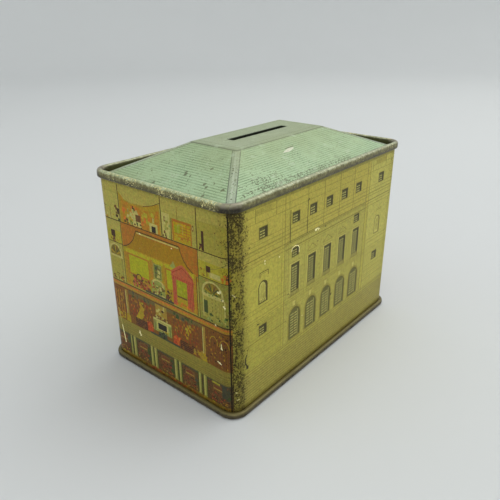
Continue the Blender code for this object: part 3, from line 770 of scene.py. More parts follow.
    # mantel
    rect("mint", -6, 37.6, 1.2, 43)
    arch("cream", -5.4, 41.6, 0.6, 44.2, 1.3, 8)
    arch("mantel", -4.6, 41.6, -0.2, 43.6, 1.1, 8)
    rect("green_room", -5, 38.2, 0.2, 41.8)
    dabs("dark_green brown mint cream red", -5.6, 37.8, 0.8, 42, 44, 0.5)
    dabs("brown dark_brown bay_red", 1.6, 37.6, 4.6, 41.4, 16, 0.6)
    rect("slate", -9.8, 36.9, 5.4, 37.8)
    # canopied bed
    shape("pink", [(4.8, 48.4), (5.4, 50.6), (9, 53.2), (10.6, 53.9), (12.2, 53.2), (15.6, 50.6),
                   (16.2, 48.4)])
    shape("mint", [(4.6, 51.8), (5.6, 53), (6.4, 54.3), (7.2, 53), (7.4, 52.2), (6, 51.4)])
    rect("rose", 5.2, 47.2, 15.9, 48.7)
    columns("pink", 47, 48.8, 5.6, 15.8, 0.95, 0.45)
    path("rose", [(5.4, 49.6), (10.6, 52.8), (15.8, 49.6)], 0.35)
    rect("pink", 5.4, 37.4, 7.4, 47.4)
    rect("pink", 12.6, 37.4, 15.8, 47.4)
    columns("rose", 37.6, 47.2, 5.8, 7.2, 0.7, 0.22)
    columns("rose", 37.6, 47.2, 13.1, 15.6, 0.8, 0.24)
    rect("bed_green", 7.5, 41.4, 12.5, 47.6)
    dabs("panel bed_green yellow_green", 7.9, 43, 12, 47, 10, 0.7)
    rect("brown", 7.6, 40.9, 12.4, 41.5)
    rect("gold", 7.6, 39.2, 12.4, 40.9)
    rect("bed_post", 7.4, 38.2, 12.6, 38.7)
    dabs("apricot flame gold", 7, 37.4, 16, 39, 16, 0.5)
    rect("frame", 16.2, 37.2, 17.4, 50.8)
    rect("outline", 17.3, 36.9, 17.6, 51.4)
    rect("outline", 18.3, 36.9, 18.6, TOP_FLOOR)

    # arched rooms beside the saloon
    for left, right, fan_left, fan_right, room in ((-PAST_END, -20.9, -28.6, -22.6, "cream_room"),
                                                   (18.8, PAST_END, 20.6, 28.4, "green_room")):
        rect(room, left, 36.9, right, 52.6)
        arch("cream", fan_left - 0.8, 46.8, fan_right + 0.8, 52.2, 4, 12)
        arch("fan", fan_left, 47.4, fan_right, 51.6, 3.6, 12)
        middle = (fan_left + fan_right) / 2
        for k in range(1, 8):
            turn = math.pi * k / 8
            reach = (fan_right - fan_left) / 2 * 0.92
            colour = ("brown", "gold", "dark_green")[k % 3]
            bar(colour, (middle + reach * 0.3 * math.cos(turn), 47.6 + 1.2 * math.sin(turn)),
                    (middle + reach * math.cos(turn), 47.6 + 3.5 * math.sin(turn)), 0.42)
        rect("cream", fan_left - 0.9, 46.6, fan_right + 0.9, 47.3)
    rect("last_room", -28.8, 38.4, -22.8, 46.6)
    rect("green_room", -22.8, 38.4, -22, 46.6)
    path("dark_brown", [(-25.4, 37), (-25.4, 39.2)], 0.3)
    bar("dark_brown", (-26.4, 39.8), (-24.6, 39.6), 0.3)
    dabs("orange apricot brown", -28.8, 37, -22.6, 38.6, 14, 0.6)
    rect("cream", 20, 38.2, 29.8, 46.6)
    rect("cream_room", 20.4, 38.2, 29.4, 46.2)
    rect("dark_green", 20.4, 39.8, 22.2, 44.6)
    for k in range(5):
        rect("line_dark", 24, 39.6 + 1.4 * k, 24.5, 40.3 + 1.4 * k)
        rect("line_dark", 25.6, 39.6 + 1.4 * k, 26.1, 40.3 + 1.4 * k)
    columns("line", 38.2, 46.4, 27.4, 29.2, 0.9, 0.24)
    dabs("dark_green green_room mint", 19.4, 37.4, 31, 40.2, 34, 0.55)
    dabs("dark_green mantel", 20.8, 46.6, 28.6, 48.2, 16, 0.4)
    rect("outline", -21.1, 36.9, -20.8, TOP_FLOOR)

    # lines between the zones
    for left, right, v, width in ((-PAST_END, PAST_END, TOP_FLOOR, 0.36),
                                  (-PAST_END, LEFT_ROOM, 52.8, 0.26), (RIGHT_ROOM, PAST_END, 52.8, 0.26),
                                  (RIGHT_ROOM, PAST_END, 36.7, 0.3)):
        rect("outline", left, v - width / 2, right, v + width / 2)

    # band between the floors
    rect("band", -PAST_END, 33.9, PAST_END, 36.7)
    rect("outline", -PAST_END, 36.3, PAST_END, 36.7)
    rect("flame", -PAST_END, 35.4, PAST_END, 35.8)
    rect("apricot", -PAST_END, 34.7, PAST_END, 35.2)
    rect("band_line", -PAST_END, 33.9, PAST_END, 34.3)

    # library
    rect("library", -PAST_END, 19.1, PAST_END, 33.9)
    rect("library_top", -20.6, 32.4, 18.8, 33.9)
    shelves = ("red", "brown", "library", "bay_red", "library", "bay_red", "red", "spandrel", "frame")
    for left, right in ((-20.4, -7.2), (4.2, 17)):
        for k in range(7):
            low = 23.4 + k * 1.28
            u = left
            while u < right - 0.4:
                step = rng.uniform(0.3, 0.7)
                rect(rng.choice(shelves), u, low, min(u + step, right), low + rng.uniform(0.75, 1.05))
                u += step + 0.12
    dabs("slate library_top dark_green", -19.6, 31.8, -8, 33.6, 14, 0.8)
    dabs("slate library_top dark_green", 5, 31.8, 16, 33.6, 14, 0.8)
    for u, width in ((-22, 1.5), (19.6, 1.4)):
        rect("brown", u - width / 2 - 0.4, 19.6, u + width / 2 + 0.4, 33.2)
        rect("column", u - width / 2, 19.6, u + width / 2, 33.6)
        rect("cream", u - width / 2, 20.2, u - width / 2 + 0.4, 33)
        rect("gold", u - width / 2 - 0.5, 19.4, u + width / 2 + 0.5, 22.4)
    columns("bay_red", 19.8, 33, 15.4, 18.4, 0.75, 0.3)
    columns("orange", 19.8, 32.4, -28.4, -24, 1.4, 0.5)
    columns("brown", 20.4, 32.4, -27.7, -23.4, 1.4, 0.3)
    dabs("bay_red band library brown", -29, 20, -23.4, 33, 60, 0.5, 1.3)
    dabs("gold apricot", -28.4, 19.4, -21.2, 23, 16, 0.6)
    columns("bay_red", 20.6, 32.6, 21.4, 30.8, 0.9, 0.3)
    dabs("dark_brown brown frame library bay_red", 20.8, 20, 31.2, 33.2, 120, 0.38, 1.2)
    for middle in (24.2, 28.8):
        path("apricot", [(middle + 1.9 * math.cos(math.pi * k / 6), 28.4 + 3.2 * math.sin(math.pi * k / 6))
                             for k in range(7)], 0.3)
    shape("gold", [(-17.6, 22.6), (-14.8, 22.2), (-12.6, 24.8), (-12.2, 28.6), (-13.8, 30.8), (-14.4, 27.6)])
    dabs("gold apricot yellow_green", -14.4, 25.4, -12, 31, 12, 0.6)
    dabs("gold apricot yellow_green", 10.8, 24.6, 13.2, 31, 14, 0.6)
    rect("chimney", -5.2, 28.8, 1, 33.6)
    path("column", [(-5, 29), (-5, 33.4), (0.8, 33.4), (0.8, 29)], 0.4)
    dabs("cream column apricot", -4.6, 29.2, 0.4, 33.2, 14, 0.6)
    oval("dark_brown", -1.3, 31.4, 0.75, 0.6, 8)
    rect("brown", -5.6, 27.4, 1.4, 28.8)
    dabs("cream gold brown", -5.2, 27.6, 1, 28.6, 14, 0.4)
    rect("mint", -6.9, 21.8, 3, 27.4)
    rect("cream", -6.9, 26.5, 3, 27.4)
    rect("pilaster_edge", -6.3, 22, -5.9, 26.5)
    rect("pilaster_edge", 2, 22, 2.4, 26.5)
    rect("cream", -5.2, 22.8, 1.2, 26.2)
    rect("hearth", -4.3, 23.2, 0.4, 25.8)
    dabs("gold brown dark_brown", -4.6, 22.2, 1, 23.2, 12, 0.4)
    for middle in (-9, 5.4):
        shape("scarlet", [(middle - 1.7, 20.2), (middle + 1.7, 20.2), (middle + 1.4, 23.4), (middle, 24.4),
                          (middle - 1.5, 23.2)])
        dabs("red scarlet flame", middle - 1.6, 20.2, middle + 1.6, 23.8, 12, 0.5)
    for left, right in ((-17.6, -10.8), (7.4, 15)):
        rect("dark_brown", left, 19.6, right, 23.2)
        rows("bay_red", left + 0.3, right - 0.3, 20.2, 22.8, 0.8, 0.26)
        dabs("brown library", left + 0.4, 20, right - 0.4, 23.6, 12, 0.5)
    dabs("apricot chimney brown", 14.6, 19.6, 21.4, 22.8, 22, 0.7)
    rect("slate", -9.2, 19.2, 7, 20.2)
    rect("slate", -4.4, 19.4, 0.4, 22)
    dabs("slate hearth dark_green", -4.2, 19.4, 0.6, 22.2, 16, 0.5)

    # plain course, with lines towards its foot
    rect("course", -PAST_END, 13.2, PAST_END, 19.2)
    shape("course", [(-PAST_END, 18.8), (-30, 19), (-20, 18.6), (-10, 19.4), (0, 19.3), (10, 19.2),
                     (20, 19.4),
                     (PAST_END, 19), (PAST_END, 17), (-PAST_END, 17)])
    for v in (16.9, 15.9, 14.9, 14.2, 13.5):
        rect("course_line", -PAST_END, v - 0.1, PAST_END, v + 0.1)

    # bottom bays between paired pilasters
    rect("bay_dark", -PAST_END, 3.4, PAST_END, 13.3)
    bays = ((-30.5, -22.6), (-18.8, -10.4), (-6.3, 3), (7.2, 15.8), (20.2, 31))
    for number, (left, right) in enumerate(bays):
        dabs("bay_mid bay_red bay_dark dark_brown brown", left + 0.6, 4.4, right - 0.6, 12.6, 110, 0.42)
        middle = (left + right) / 2
        arch("bay_mid", middle - 2.6, 9, middle + 2.6, 12, 1.2, 8)
        arch("bay_red", middle - 2, 9.2, middle + 2, 11.5, 0.9, 8)
        rect("column", middle - 2.2, 9.6, middle + 2, 10.2)
        dabs("bay_red bay_mid dark_brown rose", middle - 3.2, 4.6, middle + 3, 8.8, 60, 0.36)
        rect("bay_red", middle - 2.6, 7.4, middle + 2.4, 8)
        dabs("column bay_mid frame", left + 1, 4, right - 1, 6, 12, 0.3)
        dabs("slate dark_green", right - 1.6, 6, right - 0.4, 12.8, 9, 0.6, 1.4)
        rect("slate", left, 12.6, right, 13.3)
    rect("slate", 27.4, 7.4, 29.6, 13.2)
    rect("yellow_green", 22.8, 12, 26.4, 12.8)
    for left, right in ((-22.4, -21.5), (-20.6, -19), (-10.2, -8.7), (-8.1, -6.5), (3.2, 4.8), (5.7, 7),
                        (16, 17.3), (18.5, 20)):
        rect("dark_green", left - 0.35, 3.6, right + 0.35, 13.3)
        rect("pilaster_edge", left - 0.1, 3.4, right + 0.1, 13.5)
        rect("pilaster", left + 0.15, 3.4, right - 0.1, 13.6)
        rect("cream", left + 0.2, 4, (left + right) / 2 - 0.1, 13.2)
        rect("pilaster", left - 0.2, 3.3, right + 0.2, 4.3)
    rect("course_line", -PAST_END, 13.1, PAST_END, 13.35)

    # foot
    rect("strip", -PAST_END, 1, PAST_END, 3.9)
    dabs("gold strip column", -30, 2.6, 30, 3.9, 34, 0.6, 0.6)
    dabs("strip_red bay_red strip_red", -14, 2.2, 14, 3.7, 44, 0.8, 0.6)
    dabs("strip foot dark_green", -32, 1.6, 32, 2.6, 40, 0.8, 0.5)

    # border along the near corner, and the scars of this wall
    rect("border", 30.9, 1, 31.35, 77.3)
    path("cream", [(-28, 23.6), (-27.5, 19.4), (-26.9, 15.6)], 0.4)
    path("chip", [(-27, 15.9), (-26.4, 12.2), (-25.8, 8)], 0.5)
    for u, v, half_u, half_v in ((27.5, 49.4, 0.9, 0.9), (29.4, 44.4, 0.5, 0.6), (27.9, 28.7, 0.5, 1.2),
                                 (26.6, 21.9, 0.9, 0.5), (-16, 16.6, 0.6, 0.9), (-15.4, 15.8, 0.5, 0.6),
                                 (25.4, 36.4, 0.35, 0.4), (6.2, 58.9, 0.35, 0.35), (-10.2, 59.8, 0.5, 0.3),
                                 (28.9, 46.8, 0.35, 0.4)):
        flaked(art, "chip", u, v, half_u, half_v, rng)


# ---------------------------------------------------------------- printed walls
def printed_walls():
    """Four printed skins, each the flat of a wall and half of the corners beside it."""
    long_flat, short_flat = HALF_LENGTH - CORNER, HALF_WIDTH - CORNER
    seam = [(-37.55, 0.0), (-35.95, 0.0), (-35.95, 80.0), (-37.55, 80.0)]
    for name, half_flat, distance, out, along, paper, paint, hole in (
        ("front_print", long_flat, HALF_WIDTH, (0, -1), (1, 0), "wing", facade, None),
        ("back_print", long_flat, HALF_WIDTH, (0, 1), (-1, 0), "wing", facade, seam),
        ("left_print", short_flat, HALF_LENGTH, (-1, 0), (0, -1), "last_room", cutaway, None),
        ("right_print", short_flat, HALF_LENGTH, (1, 0), (0, 1), "last_room", cutaway, None),
    ):
        place = round_wall(half_flat, distance, out, along)
        art = wall_sheet(half_flat, paper, hole)
        paint(art)
        if name == "front_print":
            scars(art)
        data = art.mesh(name, place)
        thicken(show(data), SKIN)


# ---------------------------------------------------------------- the roof
ROOF_DROP = ROOF_TOP - ROOF_FOOT
RUN_X, RUN_Y = HALF_LENGTH - CHUCK - PANEL[0], HALF_WIDTH - CHUCK - PANEL[1]
PANEL_ROUND, FOOT_ROUND = 0.6, CORNER - CHUCK


def rounded(half_x, half_y, radius, steps=8):
    """Points round a rectangle with rounded corners, counter-clockwise."""
    points = []
    for turn, (side_x, side_y) in enumerate(((1, 1), (-1, 1), (-1, -1), (1, -1))):
        for step in range(steps + 1):
            angle = (turn + step / steps) * math.pi / 2
            points.append((side_x * (half_x - radius) + radius * math.cos(angle),
                           side_y * (half_y - radius) + radius * math.sin(angle)))
    return points


def level(t):
    """The outline of the roof where it has come a share t of the way down."""
    radius = max(PANEL_ROUND + (FOOT_ROUND - PANEL_ROUND) * t, 0.1)
    return PANEL[0] + RUN_X * t, PANEL[1] + RUN_Y * t, radius


def share(x, y):
    """How far down the slopes a point lies: 0 at the panel's edge, 1 at the foot."""
    x, y = abs(x), abs(y)
    low, high = -0.45, 1.2
    for _ in range(32):
        t = (low + high) / 2
        half_x, half_y, radius = level(t)
        past_x, past_y = x - half_x + radius, y - half_y + radius
        if past_x > 0 and past_y > 0:
            outside = math.hypot(past_x, past_y) > radius
        else:
            outside = x > half_x or y > half_y
        low, high = (t, high) if outside else (low, t)
    return t


FOLD = 0.03                   # half width, as a share, of the rounded fold round the panel


def lifted(x, y):
    """A plan point on the pressed roof."""
    t = share(x, y)
    eased = max(t, 0.0) if abs(t) > FOLD else (t + FOLD) ** 2 / (4 * FOLD)
    return x * MM, y * MM, (ROOF_TOP - ROOF_DROP * eased) * MM


inks(wear_and_shade_group("roof_wear_and_shade", "Fade", shade_and_wear_roof), "Fade", ROOF_PAINT, 0.08, 0.3, (
    (0.0, dict(
        tile=(170, 195, 156), hip=(158, 170, 147), hip_dark=(98, 108, 92), hip_light=(176, 187, 165),
        panel_paint=(168, 180, 154), panel_line=(116, 130, 106), roof_dab=(104, 112, 84),
        roof_chip=(226, 226, 208))),
    (1.0, dict(tile_line=(124, 150, 116))),
))


def roof_print():
    """The painted skin of the slopes and of the flat top, open for the slot."""
    mouth = [(x, y + SLOT_Y) for x, y in rounded(SLOT[0] + 0.32, SLOT[1] + 0.32, 0.4, 4)]
    art = Artwork("tile", rounded(*level(1.004)), mouth)
    bar, shape, oval = art.bar, art.shape, art.oval
    courses = 24
    for k in range(courses, 0, -1):
        t = (k - 0.35) / courses
        shape("tile_line", rounded(*level(t)))
        shape("tile", rounded(*level(t - 0.35 / courses)))
    for turn_x in (-1, 1):
        for turn_y in (-1, 1):
            top = (turn_x * (PANEL[0] - 0.2), turn_y * (PANEL[1] - 0.2))
            foot = (turn_x * (HALF_LENGTH - CHUCK - 0.9), turn_y * (HALF_WIDTH - CHUCK - 0.9))
            bar("hip_dark", top, foot, 3.15)
            bar("hip", top, foot, 2.5)
            lean = turn_x * turn_y * 0.55
            bar("hip_light", (top[0] + lean, top[1] - abs(lean) * turn_y),
                    (foot[0] + lean, foot[1] - abs(lean) * turn_y), 0.7)
    mottle = random.Random(HIP_SEED)
    for turn_x in (-1, 1):
        for turn_y in (-1, 1):
            for _ in range(34):
                down, off = mottle.uniform(0.03, 0.97), mottle.uniform(-0.8, 0.8)
                u = turn_x * (PANEL[0] + RUN_X * down - off * 0.6)
                v = turn_y * (PANEL[1] + RUN_Y * down + off * 0.8)
                oval(mottle.choice(("hip_dark", "hip_light", "roof_dab", "tile")), u, v,
                         mottle.uniform(0.12, 0.5), mottle.uniform(0.1, 0.4), 6)
    # the panel's edge: a dark fold line, a pale margin and a thin line inside it
    for t, colour in ((0.045, "hip_dark"), (0.022, "hip"), (0, "panel_paint"), (-0.06, "panel_line"),
                      (-0.072, "panel_paint")):
        shape(colour, rounded(*level(t)))
    bar("panel_line", (-19.6, SLOT_Y + 0.1), (-17.4, SLOT_Y + 0.1), 0.5)
    # marks on the slopes
    rng = random.Random(ROOF_SEED)
    for u_low, u_high, t_low, t_high, count, half in (
        (-36, -21, 0.62, 0.96, 170, 0.3), (-46, 0, 0.4, 0.98, 120, 0.26), (-20, 34, 0.15, 0.97, 70, 0.24),
        (-44, 20, 0.80, 0.905, 330, 0.32),
    ):
        for _ in range(count):
            u, t = rng.uniform(u_low, u_high), rng.uniform(t_low, t_high)
            v = -(PANEL[1] + RUN_Y * t)
            oval("roof_dab", u, v, half * rng.uniform(0.4, 1.3), half * rng.uniform(0.35, 0.9), 6)
    slash = -(PANEL[1] + RUN_Y * 0.31)
    shape("roof_chip", [(-9.2, slash - 0.5), (-6, slash - 0.9), (-2.2, slash - 0.1), (-1.2, slash + 0.6),
                        (-4.6, slash + 0.7), (-7.4, slash + 0.1)])
    bar("roof_dab", (-6.2, slash + 0.9), (-0.6, slash + 1.1), 0.35)
    for v, t, half in ((-2.7, 0.62, 0.9), (-2, 0.58, 0.6), (-13.7, 0.70, 0.8), (-15.5, 0.74, 0.7),
                       (-22, 0.72, 0.8), (5.7, 0.88, 0.8), (-10, 0.43, 0.8), (-5.2, 0.63, 0.5),
                       (-17, 0.66, 0.4), (-17.5, 0.88, 0.7),
                       (9, 0.5, 0.4), (1, 0.35, 0.4), (-6, 0.3, 0.35), (12, 0.7, 0.4)):
        u = -(PANEL[0] + RUN_X * t)
        shape("roof_dab", [(u - half * 0.7, v - half * 0.6), (u + half * 0.5, v - half * 0.7),
                           (u + half, v + half * 0.1), (u + half * 0.2, v + half * 0.7),
                           (u - half, v + half * 0.3)])
    for _ in range(90):
        t, v = rng.uniform(0.12, 0.97), rng.uniform(-26, 22)
        u = -(PANEL[0] + RUN_X * t)
        oval("roof_dab", u, v, 0.3 * rng.uniform(0.4, 1.2), 0.25 * rng.uniform(0.4, 1.2), 6)
    data = art.mesh("roof_print", lifted)
    made = thicken(show(data), ROOF_SKIN)
    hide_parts("roof")


# ---------------------------------------------------------------- swept rings: beads and lips
def sweep(name, path, section, wave=None):
    """A closed ring. path gives (x, y, out_x, out_y); section gives (distance outwards, height)."""
    mesh = bmesh.new()
    rows = []
    for x, y, out_x, out_y in path:
        row = []
        for out, height in section:
            shift, rise = wave(x, y, out, height) if wave else (0.0, 0.0)
            reach = out + shift
            row.append(mesh.verts.new(((x + out_x * reach) * MM, (y + out_y * reach) * MM,
                                       (height + rise) * MM)))
        rows.append(row)
    count = len(section)
    for first, second in zip(rows, rows[1:] + rows[:1]):
        for i in range(count):
            j = (i + 1) % count
            mesh.faces.new((first[i], second[i], second[j], first[j]))
    bmesh.ops.recalc_face_normals(mesh, faces=mesh.faces)
    data = finished(mesh, name)
    data.shade_smooth()
    data.set_sharp_from_angle(angle=math.radians(45))
    return data


def wall_path(step=1.6, corner_steps=16):
    """Round the outside of the walls, with the outward direction at each point."""
    corners = ((1, 1), (-1, 1), (-1, -1), (1, -1))
    points = []
    for turn, (side_x, side_y) in enumerate(corners):
        for k in range(corner_steps + 1):
            angle = (turn + k / corner_steps) * math.pi / 2
            out = Vector((math.cos(angle), math.sin(angle)))
            centre = Vector((side_x * (HALF_LENGTH - CORNER), side_y * (HALF_WIDTH - CORNER)))
            points.append((*(centre + out * CORNER), *out))
        span = 2 * (HALF_LENGTH - CORNER) if turn % 2 == 0 else 2 * (HALF_WIDTH - CORNER)
        out = Vector((math.cos((turn + 1) * math.pi / 2), math.sin((turn + 1) * math.pi / 2)))
        along = Vector((-out.y, out.x))
        start = Vector(points[-1][:2])
        for k in range(1, int(span / step)):
            points.append((*(start + along * span * k / int(span / step)), *out))
    return points


def arc_section(out, height, radius, start, end, steps):
    """Points on an arc: 0 degrees points outwards and 90 degrees points up."""
    turns = [math.radians(start + (end - start) * k / steps) for k in range(steps + 1)]
    return [(out + radius * math.cos(t), height + radius * math.sin(t)) for t in turns]


def bead_wave(x, y, out, height):
    """The beads are rolled by machine but have been knocked about since."""
    away = min(max((out + 0.2) / 0.8, 0.0), 1.0)
    low = noise.noise((x * 0.09, y * 0.09, 3.1))
    fine = noise.noise((x * 0.55, y * 0.55, height * 0.5))
    return (0.10 * low + 0.06 * fine) * away, (0.08 * low + 0.05 * fine) * away


def upper_bead():
    """The rolled bead that seams the roof to the walls, with the chuck wall inside it."""
    crown = (UPPER_PROUD + CHUCK) / 2
    foot, tuck, lower_round = RIM_TOP - UPPER_HEIGHT, 0.3, 0.7
    section = [(-CHUCK, ROOF_FOOT)]
    section += arc_section(UPPER_PROUD - crown, RIM_TOP - crown, crown, 180, 0, 16)
    section += arc_section(UPPER_PROUD - lower_round, foot + lower_round, lower_round, 0, -90, 7)
    section += [(tuck, foot), (tuck, RIM_TOP - 0.8), (-0.65, RIM_TOP - 0.8), (-0.65, ROOF_FOOT - 0.35),
                (-CHUCK, ROOF_FOOT - 0.3)]
    made = show(sweep("upper_bead", wall_path(), section, bead_wave))
    made.data.materials.append(upper_bead_tin())
    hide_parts("roof")


def slot_lip():
    """The slot's edge is turned down, with a small rounded shoulder."""
    outline = []
    for k, (x, y) in enumerate(rounded(SLOT[0], SLOT[1], 0.35, 6)):
        turn = (k // 7 + (k % 7) / 6) * math.pi / 2
        outline.append((x, y + SLOT_Y, math.cos(turn), math.sin(turn)))
    shoulder = [(0.28 - 0.28 * math.sin(a), -0.28 + 0.28 * math.cos(a))
                for a in (math.radians(15 * k) for k in range(7))]
    section = [(0.42, 0.0)] + shoulder + [(0.0, -1.3), (0.06, -1.4), (0.3, -1.4), (0.35, -1.3), (0.42, -0.3)]
    section = [(out, ROOF_TOP + height) for out, height in section]
    made = show(sweep("slot_lip", outline, section))
    made.data.materials.append(lip_paint())
    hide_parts("roof")


def foot_wave(x, y, out, height):
    """Half the wave of the upper bead, and none where the box stands."""
    return tuple(0.5 * w for w in bead_wave(x, y, out, height)) if height > 0.3 else (0.0, 0.0)


def lower_bead():
    """A thin skin over the bead of the base."""
    outer, crown, lift = 1.0, 0.9, 0.05
    section = [(0.35, 0.02)]
    section += arc_section(LOWER_PROUD - outer, outer, outer + lift, -80, 0, 9)
    section += arc_section(LOWER_PROUD - crown, LOWER_HEIGHT - crown, crown + lift, 0, 90, 10)
    section += [(0.28, LOWER_HEIGHT + lift), (0.28, LOWER_HEIGHT - 0.25), (0.9, LOWER_HEIGHT - 0.35),
                (1.2, 1.2),
                (0.6, 0.25)]
    section = [(out, max(height, 0.01)) for out, height in section]
    made = show(sweep("lower_bead", wall_path(), section, foot_wave))
    made.data.materials.append(lower_bead_tin())


# ---------------------------------------------------------------- tin and steel
def metal(name, base, dark, light, metallic, rough, dark_share, light_share,
          streaks=(0.4, 2.5, 0.8), seed=0.0):
    """Handled metal: mottled tone, dark stains with rust, pale rubbed streaks and fine relief."""
    made, n, shader = material(name)
    place = n.vector("ADD", n.place(), (seed, seed * 1.7, seed * 0.6))
    broad, middle = n.noise(place, 0.09, 3, 0.6), n.noise(place, 0.6, 4, 0.65)
    grain = n.noise(place, 3.4, 3, 0.7)
    stain = (middle + broad * 0.5 - 0.25).ramp(0.62 - 0.14 * dark_share, 0.70)
    stain = stain * min(0.5 + 0.5 * dark_share, 0.95)
    rubbed = n.noise(place, 1.3, 3, 0.6, streaks).ramp(0.70 - 0.12 * light_share, 0.76) * 0.75
    colour = n.mix(stain, n.tint(base, broad * 0.30 + grain * 0.34 + 0.68), dark)
    n.fill(shader, {"Base Color": n.mix(rubbed, colour, light), "Metallic": metallic,
                    "Roughness": middle * 0.2 + (rough - 0.1) + stain * 0.2,
                    "Normal": n.bump(grain * 0.5 - stain * 0.7, 0.4, 0.04)})
    return made


def painted_over(made, cover, rgb):
    """Puts a colour over a finished metal; cover(n, place) gives how much of it."""
    n = Nodes(made.node_tree)
    base = made.node_tree.nodes["Principled BSDF"].inputs["Base Color"]
    n.feed(base, n.mix(cover(n, n.place()), base.links[0].from_socket, rgb))
    return made


def upper_bead_tin():
    """Green paint worn off the bead's crest to gold tin, pitted, with bright flecks that are partly painted
    glints; a painted highlight on the crest and painted shade low down and inside.
    """
    made, n, shader = material("upper_bead_tin")
    place = n.place()
    x, y, z = n.axes(place)
    far_x, far_y = abs(x), abs(y)
    broad, middle, grain = n.noise(place, 0.08, 2), n.noise(place, 0.8, 4, 0.65), n.noise(place, 3.0, 3, 0.7)
    left = x.ramp(-53.0, -54.6)
    worn = middle.ramp(0.42, 0.6)
    side = n.mix(middle.ramp(0.38, 0.66), (98, 92, 56), (140, 135, 86))
    crest = n.mix(left, n.mix(worn, (148, 150, 118), (178, 182, 150)),
                  n.mix(worn, (160, 166, 122), (184, 192, 156)))
    # the crest is paler than the side: partly its paint, partly a painted highlight
    colour = n.mix((z + middle * 0.9).ramp(79.2, 80.1), side, crest)
    # painted shade: the bead darkens down towards its underside
    colour = n.tint(colour, z.ramp(76.9, 79.2) * 0.72 + 0.42)
    # painted shade: the inside of the bead, down the chuck wall, is painted dark
    shaded_inside = far_x.ramp(54.5, 54.1) * far_y.ramp(32.5, 32.1)
    colour = n.mix(shaded_inside * 0.9, colour, (66, 64, 32))
    colour = n.tint(colour, grain * (left * 0.3 + 0.25) + 0.85)
    # flecks of bare tin and painted glints, thickest on the crest of the short sides
    short = far_x.ramp(53.0, 54.6) * n.noise(place, 0.13, 1).ramp(0.34, 0.62)
    limit = short * -0.115 + 0.70 - z.ramp(78.6, 79.5) * 0.05
    flecks_and_glints = (n.noise(place, 2.0, 2, 0.6, (1.0, 0.8, 1.0)) - limit).ramp(0.0, 0.04) * (1.0 - shaded_inside)
    colour = n.mix(flecks_and_glints * 0.85, colour, (250, 238, 164))
    pits = (n.noise(place, 1.9, 5, 0.75, (0.9, 0.9, 1.6)) + z.ramp(78.6, 77.0) * 0.05).ramp(0.60, 0.66)
    pits = n.math("MULTIPLY", pits, broad * 0.9 + left * 0.4 - 0.1, clamp=True)
    colour = n.mix(pits, colour, (58, 50, 34))
    # the corners are worn to brown metal, painted with a highlight on the crest and with shade low down
    corner = far_x.ramp(49.0, 52.5) * far_y.ramp(27.0, 30.5)
    worn_with_highlight_and_shade = n.mix((z + middle).ramp(78.5, 80.0), (34, 28, 18), (150, 143, 122))
    colour = n.mix(corner * middle.ramp(0.25, 0.55), colour, worn_with_highlight_and_shade)
    n.fill(shader, {"Base Color": colour, "Roughness": middle * 0.3 + 0.22, "Metallic": 0.35,
                    "Normal": n.bump(grain * 0.4 + flecks_and_glints * 0.4 - pits, 0.6, 0.08)})
    return made


def lip_paint():
    """The roof's paint on the shoulder, and painted shade inside the slot: the tin there is painted near
    black.
    """
    made = metal("lip_paint", (156, 168, 140), (76, 78, 54), (188, 190, 160), 0.1, 0.5, 0.4, 0.4, seed=4.0)
    # painted shade: inside the slot, below the shoulder, the tin is painted near black
    return painted_over(made, lambda n, place: n.axes(place)[2].ramp(ROOF_TOP - 0.12, ROOF_TOP - 0.3) * 0.96,
                        (26, 28, 14))


def lower_bead_tin():
    """Gold lacquer left on the bead's top with a painted highlight, and dark bruised metal below whose
    darkness is partly painted shade.
    """
    # dark bruised metal, its darkness partly painted shade on the bead's lower side
    made = metal("lower_bead_tin", (78, 69, 46), (40, 34, 22), (150, 134, 84), 0.4, 0.4, 0.8, 0.3,
                 (0.5, 0.5, 1.4), 9.0)
    # painted highlight: the bead's top is painted lighter, over the lacquer left there
    return painted_over(made, lambda n, place: (n.axes(place)[2] + n.noise(place, 0.9, 3, 0.6) * 0.8)
                        .ramp(2.0, 2.6) * 0.75, (122, 112, 64))


def dress_nodes():
    """Finishes for the CAD parts that are shown as they are; the rivets are finished like the post."""
    # name, base, stain and rubbed colours, metallic, roughness, shares of stain and rub, streaks, seed
    looks = {
        "body_wall": ("inside_tin", (138, 132, 104), (86, 70, 44), (190, 186, 160), 0.75, 0.38, 0.6, 0.3,
                      (0.4, 2.5, 0.8), 2.0),
        "base_plate": ("base_lacquer", (132, 118, 70), (70, 54, 34), (188, 178, 130), 0.45, 0.4, 0.7, 0.5,
                       (0.3, 2.2, 1.0), 6.0),
        "trap_door": ("door_lacquer", (140, 126, 76), (74, 56, 34), (196, 186, 138), 0.45, 0.38, 0.6, 0.6,
                      (2.2, 0.3, 1.0), 12.0),
        "lock_case": ("case_steel", (142, 140, 130), (84, 66, 48), (204, 202, 194), 0.85, 0.36, 0.6, 0.5,
                      (2.6, 0.3, 1.0), 15.0),
        "lock_bolt": ("bolt_steel", (150, 148, 140), (90, 72, 52), (212, 210, 204), 0.9, 0.3, 0.4, 0.7,
                      (3.0, 0.25, 1.0), 18.0),
        "lock_spring": ("spring_steel", (118, 120, 124), (70, 60, 50), (180, 182, 186), 0.9, 0.3, 0.4, 0.5,
                        (0.3, 3.0, 1.0), 21.0),
        "hinge_pin": ("pin_steel", (128, 124, 112), (84, 62, 42), (190, 186, 172), 0.85, 0.4, 0.7, 0.4,
                      (0.3, 2.0, 2.0), 24.0),
        "key_post": ("rivet_steel", (146, 142, 130), (92, 70, 50), (206, 202, 190), 0.85, 0.34, 0.5, 0.5,
                     (1.0, 1.0, 1.0), 27.0),
    }
    finishes = {name: metal(*look) for name, look in looks.items()}
    for name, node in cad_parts.items():
        node.data.materials.clear()
        node.data.materials.append(finishes.get(name, finishes["key_post"]))


